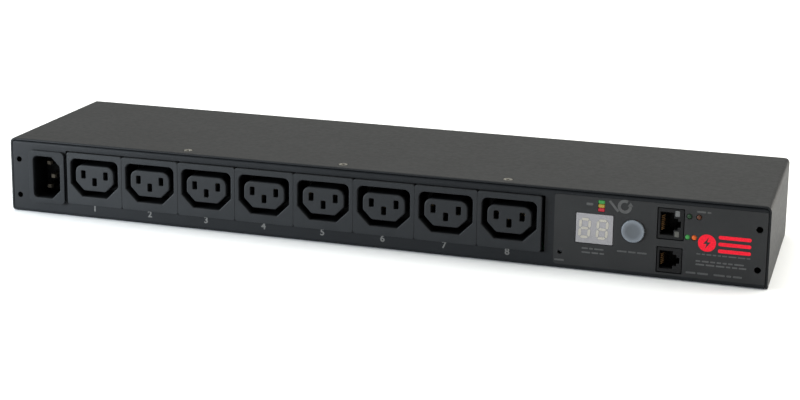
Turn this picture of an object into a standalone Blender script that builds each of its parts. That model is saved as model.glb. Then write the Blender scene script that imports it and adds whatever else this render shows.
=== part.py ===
"""Rack power strip, one unit high: a sheet-steel case with a mains inlet, eight switched outlets and a
control section with a load display, a button, lamps and two data jacks.

Units are metres. X runs along the front from left to right, the front faces -Y and Z is up. The origin
is at the bottom of the object, in its middle. As on a front-panel drawing, "across" is measured from the
case's left end, "up" from its bottom, and "behind" from the outer face of the front panel.
"""

import math

import bmesh
import bpy
from mathutils import Vector

MM = 0.001

# Case
WIDTH = 432 * MM
HEIGHT = 44 * MM
DEPTH = 106 * MM
SHEET = 1.2 * MM
COVER_BEND_RADIUS = 3 * MM
FLANGE_BEND_RADIUS = 1.3 * MM
FLOOR_BEND_RADIUS = 2.4 * MM
BEND_STEPS = 4
COVER_EDGE_RADIUS = 1.1 * MM
COVER_CORNER_RADIUS = 3 * MM
TOP_FLANGE = 14 * MM
FIT_GAP = 0.3 * MM
PROUD = 2 * MM
FRONT_Y = PROUD - (DEPTH + PROUD) / 2
REAR_Y = FRONT_Y + DEPTH
TRAY_HALF_WIDTH = WIDTH / 2 - SHEET - FIT_GAP
TRAY_TOP = HEIGHT - SHEET - FIT_GAP
CORNER_STEPS = 3
HOLE_STEPS = 16
CUTOUT_CORNER = 0.5 * MM
MOULDED_CORNER = 0.4 * MM

# Holes for the rack brackets, two at each end of the front panel
BRACKET_HOLE_RADIUS = 1.7 * MM
BRACKET_HOLE_INSET = 5.4 * MM
BRACKET_HOLE_HEIGHTS = (10.1 * MM, 31.4 * MM)

# Cover screws: countersunk, along the front edge
SCREW_INSET = 7 * MM
SCREWS_ACROSS = (109.5 * MM, 202 * MM, 294.5 * MM)
SCREW_HEAD_RADIUS = 2.6 * MM
SCREW_SHANK_RADIUS = 1.4 * MM
SCREW_LENGTH = 6 * MM
SCREW_SOCKET_RADIUS = 1.2 * MM
SCREW_SOCKET_DEPTH = 1 * MM

# Outlets, snapped side by side into a carrier behind one long window
OUTLET_COUNT = 8
OUTLET_PITCH = 34.72 * MM
FIRST_OUTLET = 54.6 * MM
OUTLET_UP = 24.3 * MM
OUTLET_FLANGE_WIDTH = 34.4 * MM
OUTLET_FLANGE_TOP = 14.3 * MM
OUTLET_FLANGE_BOTTOM = -16 * MM
OUTLET_FLANGE_CORNER = 3 * MM
SOCKET_WIDTH = 29.8 * MM
SOCKET_HEIGHT = 22 * MM
SOCKET_CORNER = 3.2 * MM
SOCKET_CHAMFER = 7.2 * MM
SOCKET_DEPTH = 17 * MM
SOCKET_WALL = 1.2 * MM
TONGUE_WIDTH = 24 * MM
TONGUE_HEIGHT = 15 * MM
TONGUE_CORNER = 4.2 * MM
TONGUE_CHAMFER = 5.2 * MM
TONGUE_RECESS = 0.4 * MM
OUTLET_BACK = 24 * MM
WINDOW_END_GAP = 1.7 * MM
LATCH_WIDTH = 8 * MM
LATCH_HEIGHT = 1.2 * MM
LATCH_LENGTH = 3.6 * MM
CARRIER_LOW = 2.4 * MM
CARRIER_HIGH = 40.8 * MM

# Pin positions of the inlet and the outlets, from the connector's centre
PIN_SPREAD = 7 * MM
PIN_OFFSET = 2 * MM
PIN_WIDTH = 4 * MM
PIN_THICKNESS = 2 * MM
CONTACT_HOLE_WIDTH = 2.8 * MM
CONTACT_HOLE_HEIGHT = 4.8 * MM

# Contacts and busbars behind the outlets
CONTACT_FRONT = 8 * MM
CONTACT_WIDTH = 1.8 * MM
CONTACT_HEIGHT = 4 * MM
CONTACT_LEG = 1.6 * MM
BUSBAR_HEIGHT = 3.2 * MM
BUSBAR_THICKNESS = 4 * MM
NEUTRAL_BUSBAR_BEHIND = 27 * MM
EARTH_BUSBAR_BEHIND = 34 * MM
BUSBAR_OVERHANG = 8 * MM

# Inlet, turned on its side
INLET_ACROSS = 24 * MM
INLET_UP = 22.4 * MM
INLET_FLANGE_SIZE = (22.6 * MM, 31 * MM)
INLET_FLANGE_CORNER = 2.6 * MM
INLET_BARREL_SIZE = (20 * MM, 27.4 * MM)
INLET_BARREL_CORNER = 2 * MM
INLET_SOCKET_LENGTH = 24.6 * MM
INLET_SOCKET_WIDTH = 17 * MM
INLET_SOCKET_CORNER = 2.6 * MM
INLET_SOCKET_CHAMFER = 5.2 * MM
INLET_SOCKET_BOTTOM = 15 * MM
INLET_BACK = 20 * MM
PIN_TIP = 5 * MM
EARTH_PIN_TIP = 2.5 * MM
PIN_BACK = 30 * MM
PIN_NOSE = 1 * MM

# Control section
LABEL_THICKNESS = 0.2 * MM
LABEL_GAP = 0.1 * MM
LABEL_FACE = -(LABEL_THICKNESS + LABEL_GAP)
LABEL_LEFT = 321.5 * MM
LABEL_RIGHT = 424 * MM
LABEL_LOW = 2.6 * MM
LABEL_HIGH = 40.6 * MM
LABEL_CORNER = 1.5 * MM
DISPLAY_AT = (342.8 * MM, 23.5 * MM)
DISPLAY_SIZE = (19.4 * MM, 16 * MM)
BOARD_THICKNESS = 1.6 * MM
BOARD_CORNER = 1 * MM
DISPLAY_BOARD_BEHIND = 9 * MM
DISPLAY_BOARD_AT = (346.75 * MM, 21.75 * MM)
DISPLAY_BOARD_SIZE = (50.5 * MM, 36.5 * MM)
BUTTON_AT = (362.9 * MM, 24.3 * MM)
BUTTON_RADIUS = 6 * MM
BUTTON_PROUD = 1.3 * MM
BUTTON_EDGE = 0.5 * MM
BUTTON_DISH = 0.5 * MM
BUTTON_COLLAR_RADIUS = 7.2 * MM
BUTTON_COLLAR_THICKNESS = 1 * MM
BUTTON_STEM_RADIUS = 1.6 * MM
BUTTON_STEM_END = 6.6 * MM
BUTTON_STEPS = 32
RESET_AT = (324.9 * MM, 9.2 * MM)
RESET_HOLE_RADIUS = 1.2 * MM
RESET_PLUNGER_RADIUS = 0.8 * MM
RESET_PLUNGER_FRONT = 2.2 * MM
RESET_PLUNGER_END = 7.4 * MM
SWITCH_SIZE = 6 * MM
SWITCH_FRONT = 5.2 * MM
SWITCH_WELL_BOTTOM = 7.8 * MM
WELL_CLEARANCE = 0.4 * MM
LOAD_LAMP_ACROSS = 346.1 * MM
LOAD_LAMPS = {"green": 38.2 * MM, "yellow": 36.1 * MM, "red": 34 * MM}
LOAD_LAMP_SIZE = (3.3 * MM, 1.8 * MM)
STATUS_LAMPS = {
    "serial_lamp_green": (390.8 * MM, 23.9 * MM),
    "serial_lamp_orange": (394.15 * MM, 23.9 * MM),
    "network_lamp_green": (391.3 * MM, 35 * MM),
    "network_lamp_orange": (396.2 * MM, 35 * MM),
}
STATUS_LAMP_RADIUS = 1.35 * MM
STATUS_LAMP_END = 6 * MM
LAMP_PROUD = 0.5 * MM
LAMP_DOME = 0.8 * MM
LAMP_HOLE_GAP = 0.2 * MM

# Data jacks, turned on their sides with their latch notches to the right, and the board they sit on
JACK_GAP = 0.4 * MM
NETWORK_JACK_AT = (382 * MM, 30 * MM)
NETWORK_JACK_SIZE = (13.2 * MM, 16.2 * MM)
NETWORK_JACK_PORT = (12.2 * MM, 7 * MM)
NETWORK_JACK_DEPTH = 21 * MM
SERIAL_JACK_AT = (382 * MM, 10.7 * MM)
SERIAL_JACK_SIZE = (12.6 * MM, 13.2 * MM)
SERIAL_JACK_PORT = (9.7 * MM, 6.8 * MM)
SERIAL_JACK_DEPTH = 18 * MM
PORT_DEPTH = 13 * MM
PORT_WALL = 1.2 * MM
NOTCH_STEPS = ((6.2 * MM, 2 * MM), (3.4 * MM, 1.5 * MM))
CONTROL_BOARD_ACROSS = 389.1 * MM
CONTROL_BOARD_BEHIND = (8 * MM, 88 * MM)
CONTROL_BOARD_UP = (2.4 * MM, 40 * MM)

# Relay board on standoffs, its relays and the supply transformer
RELAY_BOARD_X = (-181 * MM, 102 * MM)
RELAY_BOARD_Y = (-46 * MM, 48 * MM)
STANDOFF_HEIGHT = 6 * MM
STANDOFF_RADIUS = 3 * MM
STANDOFF_INSET = 5 * MM
RELAY_SIZE = (12.7 * MM, 29 * MM, 16 * MM)
RELAY_FRONT_Y = -11 * MM
RELAY_EDGE = 0.8 * MM
TRANSFORMER_AT = (128 * MM, 20 * MM)
CORE_SIZE = (36 * MM, 24 * MM, 32 * MM)
WINDING_SIZE = (24 * MM, 38 * MM, 20 * MM)
WINDING_CORNER = 3 * MM

# Leads from the inlet's pins: radius, and each route's own points after its pin
LEAD_RADIUS = 1.4 * MM
LEAD_STEPS = 2
LINE_LEAD_END = (-172 * MM, 22 * MM)
NEUTRAL_LEAD_END = (-176 * MM, 8 * MM)

BOARD_LOW = SHEET + STANDOFF_HEIGHT + FIT_GAP
BOARD_TOP = BOARD_LOW + BOARD_THICKNESS

COLOURS = {
    "powder_coat": ((0.045, 0.048, 0.052), 0.55, 0.0),
    "outlet_plastic": ((0.055, 0.058, 0.06), 0.5, 0.0),
    "inlet_plastic": ((0.02, 0.02, 0.022), 0.45, 0.0),
    "brass": ((0.72, 0.53, 0.22), 0.35, 1.0),
    "plated_metal": ((0.75, 0.74, 0.7), 0.3, 1.0),
    "screw_steel": ((0.3, 0.3, 0.3), 0.4, 1.0),
    "overlay": ((0.05, 0.052, 0.055), 0.45, 0.0),
    "display_window": ((0.42, 0.41, 0.4), 0.35, 0.0),
    "button_plastic": ((0.3, 0.34, 0.39), 0.45, 0.0),
    "lamp_green": ((0.1, 0.6, 0.12), 0.25, 0.0),
    "lamp_yellow": ((0.8, 0.7, 0.05), 0.25, 0.0),
    "lamp_red": ((0.8, 0.06, 0.04), 0.25, 0.0),
    "lamp_orange": ((0.9, 0.3, 0.03), 0.25, 0.0),
    "jack_plastic": ((0.015, 0.015, 0.016), 0.4, 0.0),
    "switch_plastic": ((0.03, 0.03, 0.03), 0.5, 0.0),
    "circuit_board": ((0.02, 0.16, 0.06), 0.45, 0.0),
    "relay_case": ((0.02, 0.02, 0.022), 0.35, 0.0),
    "transformer_core": ((0.25, 0.24, 0.22), 0.5, 0.6),
    "lead_brown": ((0.17, 0.06, 0.02), 0.5, 0.0),
    "lead_blue": ((0.02, 0.09, 0.45), 0.5, 0.0),
    "lead_green": ((0.05, 0.35, 0.05), 0.5, 0.0),
}


def clear_scene():
    for item in list(bpy.data.objects):
        bpy.data.objects.remove(item)


def make_materials():
    """One Principled material for each entry of COLOURS, by name."""
    made = {}
    for name, (colour, roughness, metallic) in COLOURS.items():
        material = bpy.data.materials.new(name)
        material.use_nodes = True
        shader = material.node_tree.nodes["Principled BSDF"]
        shader.inputs["Base Color"].default_value = (*colour, 1)
        shader.inputs["Roughness"].default_value = roughness
        shader.inputs["Metallic"].default_value = metallic
        made[name] = material
    return made


# ---------------------------------------------------------------- outlines


def arc(centre, radius, start, steps=CORNER_STEPS):
    """Points of a quarter circle, anticlockwise from the start angle in degrees."""
    angles = [math.radians(start + 90 * step / steps) for step in range(steps + 1)]
    return [(centre[0] + radius * math.cos(a), centre[1] + radius * math.sin(a)) for a in angles]


def rounded_rectangle(width, height, radius, middle=(0, 0)):
    """Outline of a rectangle with round corners, anticlockwise."""
    across = width / 2 - radius
    up = height / 2 - radius
    points = []
    for quarter, (side, end) in enumerate(((1, 1), (-1, 1), (-1, -1), (1, -1))):
        centre = (middle[0] + side * across, middle[1] + end * up)
        points += arc(centre, radius, 90 * quarter)
    return points


def rectangle(width, height, middle):
    """Outline of a rectangle with plain corners, anticlockwise."""
    side = width / 2
    top = height / 2
    return moved([(side, top), (-side, top), (-side, -top), (side, -top)], *middle)


def connector_outline(width, height, radius, chamfer):
    """Outline of a mains connector: round upper corners, and the lower two cut off at 45 degrees."""
    side = width / 2
    top = height / 2
    right_corner = arc((side - radius, top - radius), radius, 0)
    left_corner = arc((radius - side, top - radius), radius, 90)
    lower = [(-side, chamfer - top), (chamfer - side, -top), (side - chamfer, -top), (side, chamfer - top)]
    return right_corner + left_corner + lower


def jack_port_outline(port, wall, body_width):
    """Outline of a data jack's port with its stepped latch notch, which points to +X."""
    half_length = port[0] / 2
    left = wall - body_width / 2
    edge = left + port[1]
    upper = [(left, half_length), (edge, half_length)]
    for notch_width, notch_height in NOTCH_STEPS:
        upper += [(edge, notch_width / 2), (edge + notch_height, notch_width / 2)]
        edge += notch_height
    lower = [(across, -up) for across, up in reversed(upper)]
    return upper + lower


def circle(radius, steps=HOLE_STEPS, middle=(0, 0)):
    angles = [2 * math.pi * step / steps for step in range(steps)]
    return [(middle[0] + radius * math.cos(a), middle[1] + radius * math.sin(a)) for a in angles]


def turned_on_side(outline):
    """The outline turned a quarter turn, so that its bottom comes to the right."""
    return [(-up, across) for across, up in outline]


def moved(outline, across, up):
    return [(u + across, v + up) for u, v in outline]


def corner_outline(corner, radius, start):
    """Outline of what is cut away to round a corner. Start is the first angle of the round, in degrees."""
    middle = math.radians(start + 45)
    outward = Vector((math.cos(middle), math.sin(middle))) * math.sqrt(2)
    centre = Vector(corner) - outward * radius
    return arc(centre, radius, start, BEND_STEPS) + [tuple(Vector(corner) + outward * radius)]


def folded_sheet(corners, bends, thickness=SHEET):
    """Outline of a sheet folded at right angles to the left.

    The corners are those of its outer face, and each bend is the outer radius of the fold at one of them."""
    corners = [Vector(corner) for corner in corners]
    outer = []
    inner = []
    for index, corner in enumerate(corners):
        behind = corners[max(index - 1, 0)]
        ahead = corners[min(index + 1, len(corners) - 1)]
        is_end = index in (0, len(corners) - 1)
        direction = (ahead - behind if is_end else corner - behind).normalized()
        inward = Vector((-direction.y, direction.x))
        if is_end:
            outer.append(corner)
            inner.append(corner + inward * thickness)
            continue
        radius = bends[index - 1]
        centre = corner + (inward - direction) * radius
        for step in range(BEND_STEPS + 1):
            angle = math.radians(90 * step / BEND_STEPS)
            outward = direction * math.sin(angle) - inward * math.cos(angle)
            outer.append(centre + outward * radius)
            inner.append(centre + outward * (radius - thickness))
    return [tuple(point) for point in outer + inner[::-1]]


# ---------------------------------------------------------------- solids


def add_ring(solid, outline, distance, axis):
    """Vertices along an outline across the axis, at this distance along it.

    The outline's two numbers are the other two coordinates, in X, Y, Z order."""
    slot = "XYZ".index(axis)
    return [solid.verts.new((*point[:slot], distance, *point[slot:])) for point in outline]


def add_prism(solid, outline, start, end, axis="Y"):
    """Adds the closed body that has this outline across the axis and runs from start to end along it."""
    near = add_ring(solid, outline, start, axis)
    far = add_ring(solid, outline, end, axis)
    faces = [solid.faces.new(near), solid.faces.new(far)]
    for index in range(len(outline)):
        corners = (near[index - 1], near[index], far[index], far[index - 1])
        faces.append(solid.faces.new(corners))
    bmesh.ops.recalc_face_normals(solid, faces=faces)


def add_box(solid, low, high):
    outline = [(low[0], low[1]), (high[0], low[1]), (high[0], high[1]), (low[0], high[1])]
    add_prism(solid, outline, low[2], high[2], axis="Z")


def add_turned(solid, profile, steps=HOLE_STEPS, axis="Y", middle=(0, 0)):
    """Adds a turned body. The profile's points are (radius, distance along the axis), from end to end."""
    first = add_ring(solid, [middle], profile[0][1], axis)[0]
    last = add_ring(solid, [middle], profile[-1][1], axis)[0]
    rings = []
    for radius, distance in profile[1:-1]:
        rings.append(add_ring(solid, circle(radius, steps, middle), distance, axis))
    faces = []
    for index in range(steps):
        faces.append(solid.faces.new((first, rings[0][index - 1], rings[0][index])))
        faces.append(solid.faces.new((last, rings[-1][index], rings[-1][index - 1])))
        for near, far in zip(rings, rings[1:]):
            faces.append(solid.faces.new((near[index - 1], far[index - 1], far[index], near[index])))
    bmesh.ops.recalc_face_normals(solid, faces=faces)


def panel_point(across, up, behind=0.0):
    return Vector((across - WIDTH / 2, FRONT_Y + behind, up))


def place(name, solid, material, location=(0, 0, 0)):
    """Makes the named object from a bmesh, at its location."""
    mesh = bpy.data.meshes.new(name)
    solid.to_mesh(mesh)
    solid.free()
    mesh.materials.append(material)
    return place_mesh(name, mesh, location)


def place_mesh(name, mesh, location):
    item = bpy.data.objects.new(name, mesh)
    item.location = location
    bpy.context.scene.collection.objects.link(item)
    return item


def combine(target, tool_solid, operation):
    """Adds a Boolean modifier that works with a hidden tool object at the target's place."""
    tool = place(f"{target.name}_{operation.lower()}", tool_solid, target.data.materials[0], target.location)
    tool.hide_render = True
    tool.display_type = "WIRE"
    modifier = target.modifiers.new(operation.capitalize(), "BOOLEAN")
    modifier.operation = operation
    modifier.object = tool
    return tool


def shade_round(item):
    """Smooth shading on the curved faces, with sharp edges where flat faces meet."""
    item.data.shade_smooth()
    item.data.set_sharp_from_angle(angle=math.radians(35))


def settled_mesh(item, tools):
    """The object's mesh with its modifiers applied. The object and its tools are removed."""
    bpy.context.view_layer.update()
    mesh = bpy.data.meshes.new_from_object(item.evaluated_get(bpy.context.evaluated_depsgraph_get()))
    for helper in (item, *tools):
        bpy.data.objects.remove(helper)
    return mesh


def outlet_positions():
    return [FIRST_OUTLET + OUTLET_PITCH * index for index in range(OUTLET_COUNT)]


# ---------------------------------------------------------------- case


def window_limits():
    """Lowest and highest across and up of the long window that the outlet flanges fill."""
    positions = outlet_positions()
    left = positions[0] - OUTLET_FLANGE_WIDTH / 2 - WINDOW_END_GAP
    right = positions[-1] + OUTLET_FLANGE_WIDTH / 2 + WINDOW_END_GAP
    low = OUTLET_UP + OUTLET_FLANGE_BOTTOM - FIT_GAP
    high = OUTLET_UP + OUTLET_FLANGE_TOP + FIT_GAP
    return left, right, low, high


def window_outline():
    left, right, low, high = window_limits()
    middle = ((left + right) / 2, (low + high) / 2)
    return rounded_rectangle(right - left, high - low, CUTOUT_CORNER, middle)


def grown_rectangle(size, gap, radius):
    return rounded_rectangle(size[0] + 2 * gap, size[1] + 2 * gap, radius)


def load_lamp_slot():
    """The load lamps stand one above another in one slot."""
    width, height = LOAD_LAMP_SIZE
    lowest = min(LOAD_LAMPS.values())
    highest = max(LOAD_LAMPS.values())
    slot = grown_rectangle((width, highest - lowest + height), LAMP_HOLE_GAP, CUTOUT_CORNER)
    return moved(slot, LOAD_LAMP_ACROSS, (lowest + highest) / 2)


def control_cutouts():
    """Outlines, across and up, of the holes that the panel and its overlay both have."""
    button_hole = circle(BUTTON_RADIUS + FIT_GAP, BUTTON_STEPS)
    cutouts = [
        moved(grown_rectangle(DISPLAY_SIZE, FIT_GAP, CUTOUT_CORNER), *DISPLAY_AT),
        moved(grown_rectangle(NETWORK_JACK_SIZE, JACK_GAP, CUTOUT_CORNER), *NETWORK_JACK_AT),
        moved(grown_rectangle(SERIAL_JACK_SIZE, JACK_GAP, CUTOUT_CORNER), *SERIAL_JACK_AT),
        moved(button_hole, *BUTTON_AT),
        moved(circle(RESET_HOLE_RADIUS), *RESET_AT),
        load_lamp_slot(),
    ]
    for position in STATUS_LAMPS.values():
        cutouts.append(circle(STATUS_LAMP_RADIUS + LAMP_HOLE_GAP, middle=position))
    return cutouts


def build_tray(materials):
    top = TRAY_TOP
    outline = folded_sheet(
        [
            (FRONT_Y + TOP_FLANGE, top),
            (FRONT_Y, top),
            (FRONT_Y, 0),
            (REAR_Y, 0),
            (REAR_Y, top),
            (REAR_Y - TOP_FLANGE, top),
        ],
        [FLANGE_BEND_RADIUS, FLOOR_BEND_RADIUS, FLOOR_BEND_RADIUS, FLANGE_BEND_RADIUS],
    )
    solid = bmesh.new()
    add_prism(solid, outline, -TRAY_HALF_WIDTH, TRAY_HALF_WIDTH, axis="X")
    tray = place("chassis_tray", solid, materials["powder_coat"])

    standoffs = bmesh.new()
    for x in (RELAY_BOARD_X[0] + STANDOFF_INSET, sum(RELAY_BOARD_X) / 2, RELAY_BOARD_X[1] - STANDOFF_INSET):
        for y in (RELAY_BOARD_Y[0] + STANDOFF_INSET, RELAY_BOARD_Y[1] - STANDOFF_INSET):
            outline = circle(STANDOFF_RADIUS, middle=(x, y))
            add_prism(standoffs, outline, SHEET / 2, SHEET + STANDOFF_HEIGHT, axis="Z")
    combine(tray, standoffs, "UNION")

    inlet_hole = grown_rectangle(INLET_BARREL_SIZE, FIT_GAP, INLET_BARREL_CORNER)
    cutouts = control_cutouts()
    cutouts.append(window_outline())
    cutouts.append(moved(inlet_hole, INLET_ACROSS, INLET_UP))
    for across in (BRACKET_HOLE_INSET, WIDTH - BRACKET_HOLE_INSET):
        for up in BRACKET_HOLE_HEIGHTS:
            cutouts.append(circle(BRACKET_HOLE_RADIUS, middle=(across, up)))
    holes = bmesh.new()
    for cutout in cutouts:
        add_prism(holes, moved(cutout, -WIDTH / 2, 0), FRONT_Y - SHEET, FRONT_Y + 2 * SHEET)
    for x, y in screw_places():
        hole = circle(SCREW_SHANK_RADIUS + FIT_GAP, middle=(x, y))
        add_prism(holes, hole, top - 2 * SHEET, top + SHEET, axis="Z")
    combine(tray, holes, "DIFFERENCE")

    # The tray's upper corners are rounded to clear the insides of the cover's bends.
    corners = bmesh.new()
    for x, start in ((TRAY_HALF_WIDTH, 0), (-TRAY_HALF_WIDTH, 90)):
        outline = corner_outline((x, top), COVER_BEND_RADIUS - SHEET, start)
        add_prism(corners, outline, FRONT_Y - SHEET, REAR_Y + SHEET)
    combine(tray, corners, "DIFFERENCE").name = "tray_corner_tool"
    shade_round(tray)


def screw_places():
    """X and Y of each cover screw."""
    return [(across - WIDTH / 2, FRONT_Y + SCREW_INSET) for across in SCREWS_ACROSS]


def build_cover(materials):
    """The cover: a sheet folded down at both sides, with countersunk screw holes along its front edge."""
    side = WIDTH / 2
    solid = bmesh.new()
    outline = folded_sheet([(side, 0), (side, HEIGHT), (-side, HEIGHT), (-side, 0)], [COVER_BEND_RADIUS] * 2)
    add_prism(solid, outline, FRONT_Y, REAR_Y)
    cover = place("top_cover", solid, materials["powder_coat"])

    # The top sheet's front and rear edges are rounded, and so are the side sheets' lower corners.
    cuts = bmesh.new()
    for corner, radius, start in (
        ((FRONT_Y, HEIGHT), COVER_EDGE_RADIUS, 90),
        ((REAR_Y, HEIGHT), COVER_EDGE_RADIUS, 0),
        ((FRONT_Y, 0), COVER_CORNER_RADIUS, 180),
        ((REAR_Y, 0), COVER_CORNER_RADIUS, 270),
    ):
        add_prism(cuts, corner_outline(corner, radius, start), -WIDTH, WIDTH, axis="X")
    rim = SCREW_HEAD_RADIUS + FIT_GAP
    shank = SCREW_SHANK_RADIUS + FIT_GAP
    above = HEIGHT + SHEET
    below = HEIGHT - 2 * SHEET
    profile = [(0, above), (rim, above), (rim, HEIGHT), (shank, HEIGHT - SHEET), (shank, below), (0, below)]
    for screw_place in screw_places():
        add_turned(cuts, profile, axis="Z", middle=screw_place)
    combine(cover, cuts, "DIFFERENCE")
    shade_round(cover)


def build_screws(materials):
    solid = bmesh.new()
    profile = [
        (0, 0),
        (SCREW_HEAD_RADIUS, 0),
        (SCREW_SHANK_RADIUS, -SHEET),
        (SCREW_SHANK_RADIUS, -SCREW_LENGTH),
        (0, -SCREW_LENGTH),
    ]
    add_turned(solid, profile, axis="Z")
    pattern = place("screw_pattern", solid, materials["screw_steel"])
    socket = bmesh.new()
    add_prism(socket, circle(SCREW_SOCKET_RADIUS, 6), -SCREW_SOCKET_DEPTH, SCREW_SOCKET_DEPTH, axis="Z")
    tool = combine(pattern, socket, "DIFFERENCE")
    mesh = settled_mesh(pattern, [tool])
    for number, (x, y) in enumerate(screw_places(), start=1):
        shade_round(place_mesh(f"cover_screw_{number}", mesh, (x, y, HEIGHT)))


def build_carrier(materials):
    """The plate behind the window that the outlets snap into. It ends level with the outer flanges' edges."""
    left, right, _, _ = window_limits()
    front = SHEET + FIT_GAP
    back = front + SHEET
    solid = bmesh.new()
    add_box(
        solid,
        (left + WINDOW_END_GAP, front, CARRIER_LOW),
        (right - WINDOW_END_GAP, back, CARRIER_HIGH),
    )
    carrier = place("outlet_carrier", solid, materials["powder_coat"], panel_point(0, 0))
    holes = bmesh.new()
    for across in outlet_positions():
        add_prism(holes, moved(barrel_outline(FIT_GAP), across, OUTLET_UP), front - SHEET, back + SHEET)
    combine(carrier, holes, "DIFFERENCE")


# ---------------------------------------------------------------- outlets and contacts


def barrel_outline(gap=0.0):
    """Outline of the outlet's body behind its flange, made larger by the gap."""
    wall = 2 * (SOCKET_WALL + gap)
    return connector_outline(SOCKET_WIDTH + wall, SOCKET_HEIGHT + wall, SOCKET_CORNER, SOCKET_CHAMFER)


def outlet_flange_outline():
    height = OUTLET_FLANGE_TOP - OUTLET_FLANGE_BOTTOM
    middle = (0, (OUTLET_FLANGE_TOP + OUTLET_FLANGE_BOTTOM) / 2)
    return rounded_rectangle(OUTLET_FLANGE_WIDTH, height, OUTLET_FLANGE_CORNER, middle)


def contact_holes():
    """Centres of an outlet's line, neutral and earth holes."""
    return {
        "line": (PIN_SPREAD, PIN_OFFSET),
        "neutral": (-PIN_SPREAD, PIN_OFFSET),
        "earth": (0, -PIN_OFFSET),
    }


def outlet_mesh(material):
    """One outlet around its own centre: flange, latched barrel, socket, tongue and contact holes."""
    flange_back = SHEET
    solid = bmesh.new()
    add_prism(solid, outlet_flange_outline(), -PROUD, flange_back)
    pattern = place("outlet_pattern", solid, material)

    body = bmesh.new()
    add_prism(body, barrel_outline(), 0, OUTLET_BACK)
    tools = [combine(pattern, body, "UNION")]

    socket = bmesh.new()
    outline = connector_outline(SOCKET_WIDTH, SOCKET_HEIGHT, SOCKET_CORNER, SOCKET_CHAMFER)
    add_prism(socket, outline, -2 * PROUD, SOCKET_DEPTH - PROUD)
    tools.append(combine(pattern, socket, "DIFFERENCE"))

    # The tongue fills the middle of the socket. The latches are wedges above and below the barrel.
    additions = bmesh.new()
    tongue = connector_outline(TONGUE_WIDTH, TONGUE_HEIGHT, TONGUE_CORNER, TONGUE_CHAMFER)
    add_prism(additions, tongue, TONGUE_RECESS - PROUD, OUTLET_BACK - SOCKET_WALL)
    latch_front = SHEET + FIT_GAP + SHEET + FIT_GAP
    barrel_side = SOCKET_HEIGHT / 2 + SOCKET_WALL
    for side in (1, -1):
        wedge = [
            (latch_front, side * (barrel_side - SOCKET_WALL / 2)),
            (latch_front, side * (barrel_side + LATCH_HEIGHT)),
            (latch_front + LATCH_LENGTH, side * (barrel_side - SOCKET_WALL / 2)),
        ]
        add_prism(additions, wedge, -LATCH_WIDTH / 2, LATCH_WIDTH / 2, axis="X")
    tools.append(combine(pattern, additions, "UNION"))

    holes = bmesh.new()
    for centre in contact_holes().values():
        hole = rectangle(CONTACT_HOLE_WIDTH, CONTACT_HOLE_HEIGHT, centre)
        add_prism(holes, hole, -2 * PROUD, OUTLET_BACK + PROUD)
    tools.append(combine(pattern, holes, "DIFFERENCE"))
    for number, tool in enumerate(tools):
        tool.name = f"outlet_tool_{number}"
    return settled_mesh(pattern, tools)


def build_outlets(materials):
    mesh = outlet_mesh(materials["outlet_plastic"])
    for number, across in enumerate(outlet_positions(), start=1):
        shade_round(place_mesh(f"outlet_{number}", mesh, panel_point(across, OUTLET_UP)))


def build_line_contacts(materials):
    """A spring contact in each outlet's line hole, with a leg down to the relay board."""
    leg_front = OUTLET_BACK + FIT_GAP
    leg_back = leg_front + CONTACT_LEG
    across, up = contact_holes()["line"]
    leg_low = BOARD_TOP + FIT_GAP - OUTLET_UP
    profile = [
        (CONTACT_FRONT, up - CONTACT_HEIGHT / 2),
        (leg_front, up - CONTACT_HEIGHT / 2),
        (leg_front, leg_low),
        (leg_back, leg_low),
        (leg_back, up + CONTACT_HEIGHT / 2),
        (CONTACT_FRONT, up + CONTACT_HEIGHT / 2),
    ]
    solid = bmesh.new()
    add_prism(solid, profile, across - CONTACT_WIDTH / 2, across + CONTACT_WIDTH / 2, axis="X")
    pattern = place("contact_pattern", solid, materials["brass"])
    mesh = settled_mesh(pattern, [])
    for number, position in enumerate(outlet_positions(), start=1):
        place_mesh(f"line_contact_{number}", mesh, panel_point(position, OUTLET_UP))


def comb_outline(pin_across, behind):
    """Outline of a busbar with a finger forward into each outlet: across, and behind the panel."""
    fingers = [position + pin_across for position in outlet_positions()]
    left = fingers[0] - BUSBAR_OVERHANG
    right = fingers[-1] + CONTACT_WIDTH / 2
    points = [(right, behind + BUSBAR_THICKNESS), (left, behind + BUSBAR_THICKNESS), (left, behind)]
    for finger in fingers:
        near = finger - CONTACT_WIDTH / 2
        far = finger + CONTACT_WIDTH / 2
        points += [(near, behind), (near, CONTACT_FRONT), (far, CONTACT_FRONT)]
        if finger != fingers[-1]:
            points.append((far, behind))
    return points


def build_busbars(materials):
    holes = contact_holes()
    for kind, behind in (("neutral", NEUTRAL_BUSBAR_BEHIND), ("earth", EARTH_BUSBAR_BEHIND)):
        across, up = holes[kind]
        solid = bmesh.new()
        low = up - BUSBAR_HEIGHT / 2
        add_prism(solid, comb_outline(across, behind), low, low + BUSBAR_HEIGHT, axis="Z")
        busbar = place(f"{kind}_busbar", solid, materials["brass"], panel_point(0, OUTLET_UP))
        if kind == "neutral":
            # The neutral busbar has a leg at its left end that stands on the relay board.
            left = FIRST_OUTLET + across - BUSBAR_OVERHANG
            leg = bmesh.new()
            low = (left, behind + BUSBAR_THICKNESS / 4, BOARD_TOP + FIT_GAP - OUTLET_UP)
            high = (left + BUSBAR_THICKNESS, behind + BUSBAR_THICKNESS * 3 / 4, up)
            add_box(leg, low, high)
            combine(busbar, leg, "UNION")


# ---------------------------------------------------------------- inlet and leads


def inlet_pins():
    """Across and up of each inlet pin from the inlet's centre, and how far behind the panel its tip is."""
    return {
        "line": (-PIN_OFFSET, PIN_SPREAD, PIN_TIP),
        "neutral": (-PIN_OFFSET, -PIN_SPREAD, PIN_TIP),
        "earth": (PIN_OFFSET, 0, EARTH_PIN_TIP),
    }


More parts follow.
